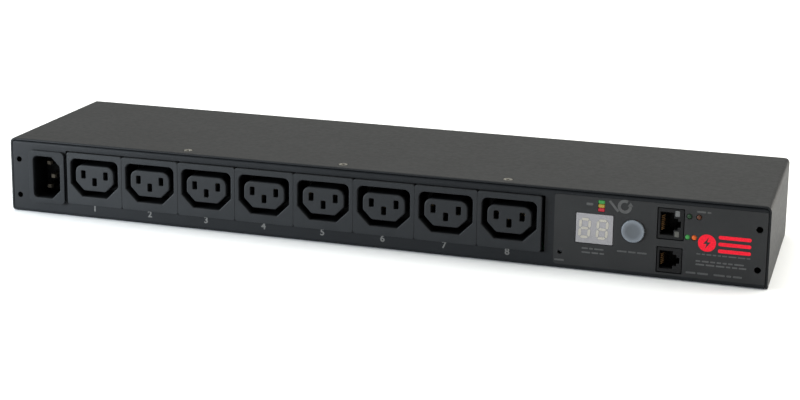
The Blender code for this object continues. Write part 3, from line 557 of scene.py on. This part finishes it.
def connector_plastic(name, colour, specular, face):
    """Moulded plastic with painted shade: its colour darkens behind its face, down inside its sockets, where
    little light comes.
    """
    material = textured_plastic(name, colour, 0.5, specular=specular)
    shader = material.node_tree.nodes["Principled BSDF"]
    surface = shader.inputs["Base Color"].links[0].from_node
    coordinates = add_node(material, "ShaderNodeTexCoord")
    place = add_node(material, "ShaderNodeSeparateXYZ")
    depth = add_node(material, "ShaderNodeMapRange")
    depth.inputs["From Min"].default_value = face + SOCKET_PAINTED_SHADE_FROM
    depth.inputs["From Max"].default_value = face + SOCKET_PAINTED_SHADE_TO
    # Painted shade: the colour is multiplied darker with depth behind the face, down in the sockets and ports
    shade = add_node(material, "ShaderNodeMix", data_type="RGBA", blend_type="MULTIPLY")
    shade.inputs["B"].default_value = (*SOCKET_PAINTED_SHADE, 1)
    link(material, coordinates, "Object", place, "Vector")
    link(material, place, "Y", depth, "Value")
    link(material, depth, "Result", shade, "Factor")
    link(material, surface, "Color", shade, "A")
    link(material, shade, "Result", shader, "Base Color")
    return material


def powder_coat():
    """Fine-textured powder coat: small rounded grains over a slower ripple, with a trace of mottling."""
    colour = (0.0110, 0.0121, 0.0138)
    material = new_material("powder_coat_fine", colour, 0.5, specular=0.11)
    vary_colour(material, noise(material, 28, 4), scaled(colour, 0.93), scaled(colour, 1.07))
    vary_roughness(material, noise(material, 420, 2), 0.46, 0.54)
    add_bumps(
        material, noise(material, 380, 2), noise(material, 1500, 2), noise(material, 3600, 1),
        strength=0.22, height=0.06 * MM,
    )
    return material


def brushed_metal(name, colour, roughness, stretch=(1, 12, 1)):
    """Metal whose grain is finer along the axes that are stretched more."""
    material = new_material(name, colour, roughness, metallic=1.0)
    vary_colour(material, noise(material, 300, 3, stretch), scaled(colour, 0.88), scaled(colour, 1.08))
    vary_roughness(material, noise(material, 700, 3, stretch), roughness - 0.08, roughness + 0.1)
    add_bumps(material, noise(material, 1800, 2, stretch), strength=0.12, height=0.02 * MM)
    return material


def lamp_lens(name, colour, glow):
    """A tinted, slightly matt lamp lens. The glow is its own light."""
    material = new_material(name, colour, 0.5, specular=0.12)
    shader = material.node_tree.nodes["Principled BSDF"]
    vary_colour(material, noise(material, 900, 2), scaled(colour, 0.85), scaled(colour, 1.1))
    shader.inputs["Emission Color"].default_value = (*colour, 1)
    shader.inputs["Emission Strength"].default_value = glow
    return material


def ink(name, colour, specular=0.3):
    """Screen-printed ink, slightly uneven."""
    material = new_material(name, colour, 0.5, specular=specular)
    vary_colour(material, noise(material, 1600, 3), scaled(colour, 0.85), scaled(colour, 1.08))
    add_bumps(material, noise(material, 4000, 1), strength=0.15, height=0.01 * MM)
    return material


def button_cap():
    """The dished cap's plastic, with painted shade in its middle and a painted highlight towards its rim."""
    colour = (0.092, 0.104, 0.120)
    material = textured_plastic("button_cap", colour, 0.4, strength=0.1)
    across, up, width, _ = box_middle("display_button")
    coordinates = add_node(material, "ShaderNodeTexCoord")
    distance = add_node(material, "ShaderNodeVectorMath", operation="DISTANCE")
    flatten = add_node(material, "ShaderNodeVectorMath", operation="MULTIPLY")
    flatten.inputs[1].default_value = (1, 0, 1)
    centre = panel_point(across, up)
    distance.inputs[1].default_value = (centre.x, 0, centre.z)
    spread = add_node(material, "ShaderNodeMapRange", interpolation_type="SMOOTHSTEP")
    spread.inputs["From Min"].default_value = CAP_PAINTED_LIGHT_FROM * width
    spread.inputs["From Max"].default_value = CAP_PAINTED_LIGHT_TO * width
    # Painted light: darker in the dish's middle, lighter at the rim where light catches it
    tint = add_node(material, "ShaderNodeMix", data_type="RGBA")
    tint.inputs["A"].default_value = (*scaled(colour, CAP_MIDDLE_PAINTED_SHADE), 1)
    tint.inputs["B"].default_value = (*scaled(colour, CAP_RIM_PAINTED_HIGHLIGHT), 1)
    link(material, coordinates, "Object", flatten, 0)
    link(material, flatten, "Vector", distance, 0)
    link(material, distance, "Value", spread, "Value")
    link(material, spread, "Result", tint, "Factor")
    link(material, tint, "Result", material.node_tree.nodes["Principled BSDF"], "Base Color")
    return material


def circuit_board():
    """Green solder mask with a faint pattern of tracks under it."""
    colour = (0.012, 0.11, 0.045)
    material = new_material("solder_mask", colour, 0.35)
    texture = add_node(material, "ShaderNodeTexBrick")
    coordinates = add_node(material, "ShaderNodeTexCoord")
    texture.inputs["Scale"].default_value = 160
    texture.inputs["Mortar Size"].default_value = 0.03
    texture.inputs["Color1"].default_value = (*scaled(colour, 0.85), 1)
    texture.inputs["Color2"].default_value = (*colour, 1)
    texture.inputs["Mortar"].default_value = (*scaled(colour, 1.6), 1)
    link(material, coordinates, "Object", texture, "Vector")
    link(material, texture, "Color", material.node_tree.nodes["Principled BSDF"], "Base Color")
    return material


def make_materials():
    return {
        "powder_coat": powder_coat(),
        "overlay": textured_plastic(
            "overlay_film", (0.0212, 0.0218, 0.0229), 0.5, grain=5000, strength=0.12, specular=0.15
        ),
        "outlet_plastic": connector_plastic("outlet_body", (0.0165, 0.018, 0.020), 0.12, PROUD_FACE),
        "inlet_plastic": connector_plastic("inlet_body", (0.0125, 0.0138, 0.0155), 0.1, PROUD_FACE),
        "jack_plastic": connector_plastic("jack_body", (0.0120, 0.0120, 0.0127), 0.08, 0),
        "switch_plastic": textured_plastic("switch_body", (0.02, 0.02, 0.02), 0.5),
        "relay_case": textured_plastic("relay_body", (0.015, 0.015, 0.017), 0.3),
        "button_plastic": button_cap(),
        "display_window": textured_plastic("display_body", (0.235, 0.228, 0.24), 0.3, strength=0.05),
        "segment": textured_plastic("display_segment", (0.34, 0.32, 0.28), 0.25, strength=0.02),
        "segment_gap": textured_plastic("display_gap", (0.165, 0.165, 0.185), 0.4, strength=0.02),
        "window_upper": textured_plastic("jack_window_upper", (0.092, 0.094, 0.096), 0.4, strength=0.05),
        "window_lower": textured_plastic("jack_window_lower", (0.062, 0.062, 0.055), 0.4, strength=0.05),
        "brass": brushed_metal("stamped_brass", (0.72, 0.50, 0.20), 0.35),
        # Painted shade: the contacts' colour is darkened far below bare gold, for the shade deep in the
        # jacks' ports
        "gold": brushed_metal("contact_gold_painted_shade", (0.17, 0.095, 0.042), 0.4),
        # Painted shade: the plating's colour is darkened far below bare nickel, for the pins deep in the
        # inlet's socket
        "plated_metal": brushed_metal("nickel_plate_painted_shade", (0.028, 0.024, 0.019), 0.55),
        "screw_steel": brushed_metal("screw_zinc", (0.14, 0.135, 0.122), 0.42, (1, 1, 1)),
        "transformer_core": brushed_metal("core_laminations", (0.20, 0.19, 0.18), 0.5, (1, 1, 30)),
        "circuit_board": circuit_board(),
        "lead_brown": textured_plastic("lead_brown_skin", (0.14, 0.05, 0.02), 0.45),
        "lead_blue": textured_plastic("lead_blue_skin", (0.02, 0.07, 0.35), 0.45),
        "lead_green": textured_plastic("lead_green_skin", (0.06, 0.30, 0.05), 0.45),
        "lamp_green": lamp_lens("lens_green", (0.035, 0.17, 0.045), 0.35),
        "lamp_yellow": lamp_lens("lens_yellow", (0.22, 0.16, 0.03), 0.35),
        "lamp_red": lamp_lens("lens_red", (0.27, 0.018, 0.03), 0.35),
        "lamp_orange": lamp_lens("lens_orange", (0.40, 0.075, 0.016), 0.35),
        "dim_green": lamp_lens("lens_green_dim", (0.018, 0.040, 0.021), 0.0),
        "dim_orange": lamp_lens("lens_orange_dim", (0.075, 0.032, 0.020), 0.0),
        "numeral_ink": ink("ink_numeral", (0.115, 0.115, 0.113)),
        "pale_ink": ink("ink_pale", (0.062, 0.063, 0.064)),
        "grey_ink": ink("ink_grey", (0.055, 0.056, 0.057)),
        "red_ink": ink("ink_red", (0.74, 0.012, 0.030), specular=0.1),
    }


# ---------------------------------------------------------------- the CAD nodes that stay


def soften(item, width):
    """Rounds a CAD node's edges a little. Coplanar triangles are joined first, so only real edges are."""
    item.data.shade_smooth()
    weld = item.modifiers.new("Weld", "WELD")
    weld.merge_threshold = 0.001 * MM
    flatten = item.modifiers.new("Join flat faces", "DECIMATE")
    flatten.decimate_type = "DISSOLVE"
    flatten.angle_limit = math.radians(1)
    bevel = item.modifiers.new("Round edges", "BEVEL")
    bevel.width = width
    bevel.segments = 2
    bevel.limit_method = "ANGLE"
    bevel.angle_limit = math.radians(SHARP_ANGLE)
    add_flat_normals(item)


def edge_round(name):
    """How far this node's edges are rounded, or nothing where they stay as they are."""
    if name.startswith("cover_screw"):
        return SCREW_ROUND
    if name.startswith("load_lamp"):
        return LAMP_ROUND
    if name.startswith("relay_") and name != "relay_board":
        return RELAY_ROUND
    return EDGE_ROUNDS.get(name)


def finish_nodes(materials):
    """Each CAD node that stays takes the finish of its slot, and small round edges where they show."""
    for name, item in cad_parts.items():
        slot_name = item.data.materials[0].name
        item.material_slots[0].material = materials[slot_name]
        width = edge_round(name)
        if width:
            soften(item, width)
    for colour in ("green", "orange"):
        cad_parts[f"network_lamp_{colour}"].material_slots[0].material = materials[f"dim_{colour}"]


# ---------------------------------------------------------------- mains connectors


def add_connector(solid, flange, flange_back, barrel, barrel_end, socket, socket_floor, holes, tongue):
    """A panel connector as one closed body: flange, barrel, socket, holes and, for an outlet, its tongue.

    The holes run from the tongue's face, or from the socket's floor where there is no tongue, to the back."""
    flange_rings = rounded_rim(solid, flange, PROUD_FACE, FLANGE_ROUND, 1)
    flange_rings.append(ring(solid, flange, flange_back))
    rings_joined(solid, flange_rings)

    barrel_rings = [ring(solid, barrel, flange_back), ring(solid, barrel, barrel_end)]
    rings_joined(solid, barrel_rings)
    flat_face(solid, flange_rings[-1], barrel_rings[0])

    socket_rings = rounded_rim(solid, socket, PROUD_FACE, SOCKET_LIP, -1)
    socket_rings.append(ring(solid, socket, socket_floor))
    rings_joined(solid, socket_rings)
    flat_face(solid, flange_rings[0], socket_rings[0])

    hole_face = socket_floor
    if tongue:
        hole_face = TONGUE_FACE
        tongue_rings = rounded_rim(solid, tongue, TONGUE_FACE, TONGUE_ROUND, 1)
        tongue_rings.append(ring(solid, tongue, socket_floor))
        rings_joined(solid, tongue_rings)
        flat_face(solid, socket_rings[-1], tongue_rings[-1])

    fronts = []
    backs = []
    for hole in holes:
        hole_rings = rounded_rim(solid, hole, hole_face, HOLE_LIP, -1)
        hole_rings.append(ring(solid, hole, barrel_end))
        rings_joined(solid, hole_rings)
        fronts.append(hole_rings[0])
        backs.append(hole_rings[-1])
    flat_face(solid, tongue_rings[0] if tongue else socket_rings[-1], *fronts)
    flat_face(solid, barrel_rings[-1], *backs)


def build_outlets(materials):
    """The eight outlets. Each fills its own part of the row, and their sockets all lie on one line."""
    barrel_size = [side + 2 * BARREL_WALL for side in SOCKET_SIZE]
    for number in range(1, OUTLET_COUNT + 1):
        node = f"outlet_{number}"
        across, up, width, height = box_middle(node)
        lift = up - OUTLET_CENTRE_UP
        solid = bmesh.new()
        add_connector(
            solid,
            flange=rounded_rectangle(width + 2 * FLANGE_GROWTH, height, FLANGE_CORNER, (0, lift)),
            flange_back=FLANGE_BACK,
            barrel=connector_outline(*barrel_size, SOCKET_CORNER, SOCKET_CHAMFER),
            barrel_end=BARREL_END,
            socket=connector_outline(*SOCKET_SIZE, SOCKET_CORNER, SOCKET_CHAMFER, SOCKET_SOFTNESS),
            socket_floor=SOCKET_FLOOR,
            holes=[
                rounded_rectangle(*HOLE_SIZE, HOLE_CORNER, place, SMALL_CORNER_STEPS)
                for place in HOLE_PLACES
            ],
            tongue=connector_outline(*TONGUE_SIZE, TONGUE_CORNER, TONGUE_CHAMFER, TONGUE_SOFTNESS),
        )
        location = panel_point(across, OUTLET_CENTRE_UP)
        piece = finished(f"{node}_body", solid, materials["outlet_plastic"], location)
        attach(piece, "case")
        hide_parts(node)


def build_inlet(materials):
    """The inlet, a connector on its side with no tongue, whose pins come through slots in its floor."""
    across, up, width, height = box_middle("inlet_housing")
    solid = bmesh.new()
    add_connector(
        solid,
        flange=rounded_rectangle(width, height, INLET_FLANGE_CORNER),
        flange_back=INLET_FLANGE_BACK,
        barrel=rounded_rectangle(*INLET_BARREL_SIZE, INLET_BARREL_CORNER),
        barrel_end=INLET_END,
        socket=turned_on_side(
            connector_outline(*INLET_SOCKET_SIZE, INLET_SOCKET_CORNER, INLET_SOCKET_CHAMFER)
        ),
        socket_floor=INLET_FLOOR,
        holes=[
            rounded_rectangle(*PIN_SLOT_SIZE, PIN_SLOT_CORNER, place, SMALL_CORNER_STEPS)
            for place in INLET_PINS
        ],
        tongue=None,
    )
    piece = finished("inlet_body", solid, materials["inlet_plastic"], panel_point(across, up))
    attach(piece, "case")
    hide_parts("inlet_housing")


# ---------------------------------------------------------------- data jacks


def build_jack(materials, kind, port):
    """A jack's body, with its port in its face."""
    node = f"{kind}_jack"
    across, up, width, height = box_middle(node)
    low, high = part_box(node)
    solid = bmesh.new()
    body = rounded_rectangle(width, height, JACK_CORNER, steps=SMALL_CORNER_STEPS)
    body_rings = rounded_rim(solid, body, 0, JACK_ROUND, 1)
    body_rings.append(ring(solid, body, high.y - low.y))
    rings_joined(solid, body_rings)
    opening = port_outline(port, width)
    port_rings = rounded_rim(solid, opening, 0, PORT_LIP, -1)
    port_rings.append(ring(solid, opening, PORT_FLOOR))
    rings_joined(solid, port_rings)
    flat_face(solid, body_rings[0], port_rings[0])
    flat_face(solid, port_rings[-1])
    solid.faces.new(body_rings[-1])
    piece = finished(f"{kind}_jack_body", solid, materials["jack_plastic"], panel_point(across, up))
    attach(piece, "case")
    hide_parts(node)


def build_contacts(materials, kind, count):
    """The spring contacts along the left side of a jack's port, each a bent wire."""
    across, up, width, _ = box_middle(f"{kind}_jack")
    left = across - width / 2 + PORT_WALL
    for number in range(count):
        contact_up = up + (number - (count - 1) / 2) * CONTACT_PITCH
        curve = bpy.data.curves.new(f"{kind}_contact_{number + 1}", "CURVE")
        curve.dimensions = "3D"
        curve.bevel_depth = CONTACT_RADIUS
        curve.bevel_resolution = 2
        curve.use_fill_caps = True
        spline = curve.splines.new("POLY")
        spline.points.add(len(CONTACT_ROUTE) - 1)
        for point, (inward, behind) in zip(spline.points, CONTACT_ROUTE):
            point.co = (*panel_point(left + inward, contact_up, behind), 1)
        curve.materials.append(materials["gold"])
        wire = bpy.data.objects.new(curve.name, curve)
        bpy.context.scene.collection.objects.link(wire)
        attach(wire, "case")


def build_jack_windows(materials):
    """The two small lamp windows in the network jack's face, above and below its latch notch."""
    across, up, _, _ = box_middle("network_jack")
    for name, rise in JACK_WINDOW_RISES.items():
        solid = bmesh.new()
        outline = rounded_rectangle(*JACK_WINDOW_SIZE, JACK_WINDOW_CORNER, steps=SMALL_CORNER_STEPS)
        add_cushioned_plate(solid, outline, JACK_WINDOW_FACE, JACK_WINDOW_BACK, JACK_WINDOW_ROUND)
        location = panel_point(across + JACK_WINDOW_SHIFT, up + rise)
        piece = finished(f"network_jack_window_{name}", solid, materials[f"window_{name}"], location)
        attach(piece, "case")


# ---------------------------------------------------------------- display


def digit_segments():
    """Outlines of a digit's seven segments around its middle, each a bar with pointed ends."""
    end = SEGMENT_LENGTH / 2 - SEGMENT_SPACE
    point = SEGMENT_WIDTH / 2
    bar = [(-end, 0), (point - end, -point), (end - point, -point),
           (end, 0), (end - point, point), (point - end, point)]
    upright = turned_on_side(bar)
    segments = [moved(bar, 0, shift) for shift in (SEGMENT_LENGTH, 0, -SEGMENT_LENGTH)]
    for side in (-SEGMENT_LENGTH / 2, SEGMENT_LENGTH / 2):
        for shift in (-SEGMENT_LENGTH / 2, SEGMENT_LENGTH / 2):
            segments.append(moved(upright, side, shift))
    return [[(across + up * DIGIT_SLANT, up) for across, up in outline] for outline in segments]


def build_display(materials):
    """Two unlit digits set in the display's face, each segment in its own dark gap."""
    across, up, _, _ = box_middle("led_display")
    low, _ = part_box("led_display")
    face = low.y - FRONT_Y
    layers = (("gap", "segment_gap", GAP_HEIGHT, GAP_GROWTH), ("segment", "segment", SEGMENT_HEIGHT, 0))
    for number, side in ((1, -1), (2, 1)):
        middle = (across + side * DIGIT_ASIDE + DIGIT_SHIFT, up)
        for kind, material_name, height, growth in layers:
            solid = bmesh.new()
            for outline in digit_segments():
                add_plate(solid, moved(offset(outline, growth), *middle), face - height, face + DIGIT_SUNK)
            name = f"display_{kind}s_{number}"
            piece = finished(name, solid, materials[material_name], panel_point(0, 0))
            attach(piece, "case")


# ---------------------------------------------------------------- prints


def print_piece(name, solid, material):
    """Makes a piece that lies on the overlay."""
    piece = finished(name, solid, material, panel_point(0, 0))
    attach(piece, "case")


def overlay_face():
    """The depth of the overlay's face. It is below 0, because the face stands proud of the panel."""
    low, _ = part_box("front_label")
    return low.y - FRONT_Y


def build_overlay_margin(materials):
    """The overlay's right end, which runs on to the panel's edge, with room for the bracket holes."""
    low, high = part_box("front_label")
    width = MARGIN_END - MARGIN_START
    middle = ((MARGIN_START + MARGIN_END) / 2, (low.z + high.z) / 2)
    outlines = [rounded_rectangle(width, high.z - low.z, MARGIN_CORNER, middle)]
    for up in BRACKET_HOLES_UP:
        outlines.append(circle((BRACKET_HOLE_ACROSS, up), MARGIN_HOLE_RADIUS, MARGIN_HOLE_POINTS))
    solid = bmesh.new()
    rims = []
    for outline in outlines:
        rims.append([ring(solid, outline, depth) for depth in (overlay_face() - MARGIN_STEP, 0)])
        rings_joined(solid, rims[-1])
    for side in (0, 1):
        flat_face(solid, *[rim[side] for rim in rims])
    print_piece("overlay_margin", solid, materials["overlay"])


def build_numerals(materials):
    """The outlets' numbers on the panel below them."""
    for number in range(1, OUTLET_COUNT + 1):
        across, _, _, _ = box_middle(f"outlet_{number}")
        text = bpy.data.curves.new("numeral", "FONT")
        text.body = str(number)
        text.align_x = "CENTER"
        text.align_y = "CENTER"
        text.size = NUMERAL_SIZE
        text.offset = NUMERAL_WEIGHT
        text.extrude = INK / 2
        text.resolution_u = 6
        helper = bpy.data.objects.new("numeral", text)
        bpy.context.scene.collection.objects.link(helper)
        bpy.context.view_layer.update()
        mesh = bpy.data.meshes.new_from_object(helper.evaluated_get(bpy.context.evaluated_depsgraph_get()))
        bpy.data.objects.remove(helper)
        mesh.transform(Matrix.Rotation(math.radians(90), 4, "X"))
        mesh.materials.clear()
        mesh.materials.append(materials["numeral_ink"])
        piece = bpy.data.objects.new(f"numeral_{number}", mesh)
        piece.location = panel_point(across + NUMERAL_SHIFT, NUMERAL_UP, -INK / 2)
        bpy.context.scene.collection.objects.link(piece)
        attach(piece, "case")


def add_small_print(solid, left, right, up, height, chance, face):
    """A line of small print with no lettering: a plain bar stands for each word."""
    across = left
    while right - across > height:
        width = min(height * chance.uniform(*WORD_WIDTHS), right - across)
        middle = (across + width / 2, up)
        bar = rounded_rectangle(width, height * WORD_HEIGHT, height * WORD_CORNER, middle, TINY_CORNER_STEPS)
        add_plate(solid, bar, face - INK, face + INK)
        across += width + height * WORD_SPACE


def build_small_prints(materials):
    chance = random.Random(PRINT_SEED)
    face = overlay_face()
    for name, ink_name, left, right, up, height in PRINT_LINES:
        solid = bmesh.new()
        add_small_print(solid, left * MM, right * MM, up * MM, height * MM, chance, face)
        print_piece(name, solid, materials[ink_name])


def build_cycle_icon(materials):
    """A ring with an arrowhead, for the button that steps the display, and a slash beside the load lamps."""
    face = overlay_face()
    solid = bmesh.new()
    turn = arc(CYCLE_CENTRE, CYCLE_RADIUS, *CYCLE_TURN, CYCLE_STEPS)
    add_strip(solid, turn, CYCLE_WIDTH, face - INK, face + INK)
    head = moved(ARROWHEAD, CYCLE_CENTRE[0] + CYCLE_RADIUS, CYCLE_CENTRE[1])
    add_plate(solid, head, face - INK, face + INK)
    print_piece("cycle_icon", solid, materials["pale_ink"])

    solid = bmesh.new()
    add_strip(solid, SLASH, SLASH_WIDTH, face - INK, face + INK)
    print_piece("load_slash", solid, materials["pale_ink"])


def build_badge(materials):
    """A plain red mark in the badge's place: a disc with a bolt left open in it, and three bars."""
    face = overlay_face()
    radius = (BADGE_HIGH - BADGE_LOW) / 2
    centre = (BADGE_LEFT + radius, (BADGE_LOW + BADGE_HIGH) / 2)
    solid = bmesh.new()
    rims = []
    for outline in (circle(centre, radius, BADGE_DISC_POINTS), moved(BADGE_BOLT, *centre)):
        rims.append([ring(solid, outline, depth) for depth in (face - INK, face + INK)])
        rings_joined(solid, rims[-1])
    for side in (0, 1):
        flat_face(solid, rims[0][side], rims[1][side])
    print_piece("badge_disc", solid, materials["red_ink"])

    solid = bmesh.new()
    bar_left = BADGE_LEFT + 2 * radius + BADGE_GAP
    bar_size = (BADGE_RIGHT - bar_left, BADGE_BAR_HEIGHT)
    pitch = (BADGE_HIGH - BADGE_LOW - BADGE_BAR_HEIGHT) / 2
    for row in (-1, 0, 1):
        middle = ((bar_left + BADGE_RIGHT) / 2, centre[1] + row * pitch)
        outline = rounded_rectangle(*bar_size, BADGE_BAR_CORNER, middle, CORNER_STEPS)
        add_plate(solid, outline, face - INK, face + INK)
    print_piece("badge_bars", solid, materials["red_ink"])


# ---------------------------------------------------------------- studio


def make_camera():
    data = bpy.data.cameras.new("camera")
    data.lens = CAMERA_LENS
    data.sensor_width = CAMERA_SENSOR
    data.shift_x, data.shift_y = CAMERA_SHIFT
    data.clip_start = 0.01
    camera = bpy.data.objects.new("camera", data)
    camera.location = CAMERA_AT
    look = (CAMERA_AIM - CAMERA_AT).to_track_quat("-Z", "Y").to_matrix()
    camera.rotation_euler = (look @ Matrix.Rotation(CAMERA_ROLL, 3, "Z")).to_euler()
    bpy.context.scene.collection.objects.link(camera)
    bpy.context.scene.camera = camera


def add_softbox(name, location, aim, size, power, colour):
    data = bpy.data.lights.new(name, "AREA")
    data.shape = "RECTANGLE"
    data.size, data.size_y = size
    data.energy = power
    data.color = colour
    light = bpy.data.objects.new(name, data)
    light.location = location
    light.rotation_euler = (Vector(aim) - Vector(location)).to_track_quat("-Z", "Y").to_euler()
    bpy.context.scene.collection.objects.link(light)


def make_sky():
    """A dim sky with one broad bright patch, overhead and a little behind. The camera sees plain white."""
    world = bpy.data.worlds.new("studio")
    world.use_nodes = True
    background = world.node_tree.nodes["Background"]
    background.inputs["Color"].default_value = (*SKY_COLOUR, 1)
    direction = add_node(world, "ShaderNodeTexCoord")
    facing = add_node(world, "ShaderNodeVectorMath", operation="DOT_PRODUCT")
    facing.inputs[1].default_value = Vector(SKY_PATCH).normalized()
    patch = add_node(world, "ShaderNodeMapRange", interpolation_type="SMOOTHSTEP")
    patch.inputs["From Min"].default_value = SKY_PATCH_EDGE
    patch.inputs["From Max"].default_value = 1
    patch.inputs["To Min"].default_value = SKY_DIM
    patch.inputs["To Max"].default_value = SKY_BRIGHT
    white = add_node(world, "ShaderNodeBackground")
    white.inputs["Color"].default_value = (1, 1, 1, 1)
    rays = add_node(world, "ShaderNodeLightPath")
    mix = add_node(world, "ShaderNodeMixShader")
    link(world, direction, "Generated", facing, 0)
    link(world, facing, "Value", patch, "Value")
    link(world, patch, "Result", background, "Strength")
    link(world, rays, "Is Camera Ray", mix, "Fac")
    link(world, background, "Background", mix, 1)
    link(world, white, "Background", mix, 2)
    link(world, mix, "Shader", world.node_tree.nodes["World Output"], "Surface")
    bpy.context.scene.world = world


def make_floor():
    """A sheet of white paper that reaches far past the view."""
    solid = bmesh.new()
    bmesh.ops.create_grid(solid, x_segments=8, y_segments=8, size=FLOOR_REACH)
    mesh = bpy.data.meshes.new("floor")
    solid.to_mesh(mesh)
    solid.free()
    floor = bpy.data.objects.new("floor", mesh)
    floor.location.z = -FLOOR_DROP
    paper = new_material("white_paper", PAPER, 1.0, specular=0.0)
    vary_colour(paper, noise(paper, 3, 2), PAPER_DARK, PAPER_LIGHT)
    mesh.materials.append(paper)
    bpy.context.scene.collection.objects.link(floor)


def make_studio():
    """The sky, a cool softbox near the left end of the front, a warm one off the right end, and a floor."""
    bpy.context.scene.view_settings.view_transform = "Standard"
    make_sky()
    for softbox in SOFTBOXES:
        add_softbox(*softbox)
    make_floor()


materials = make_materials()
finish_nodes(materials)
build_outlets(materials)
build_inlet(materials)
build_jack(materials, "network", NETWORK_PORT)
build_contacts(materials, "network", NETWORK_CONTACTS)
build_jack(materials, "serial", SERIAL_PORT)
build_contacts(materials, "serial", SERIAL_CONTACTS)
build_jack_windows(materials)
build_display(materials)
build_overlay_margin(materials)
build_numerals(materials)
build_small_prints(materials)
build_cycle_icon(materials)
build_badge(materials)
make_studio()
make_camera()
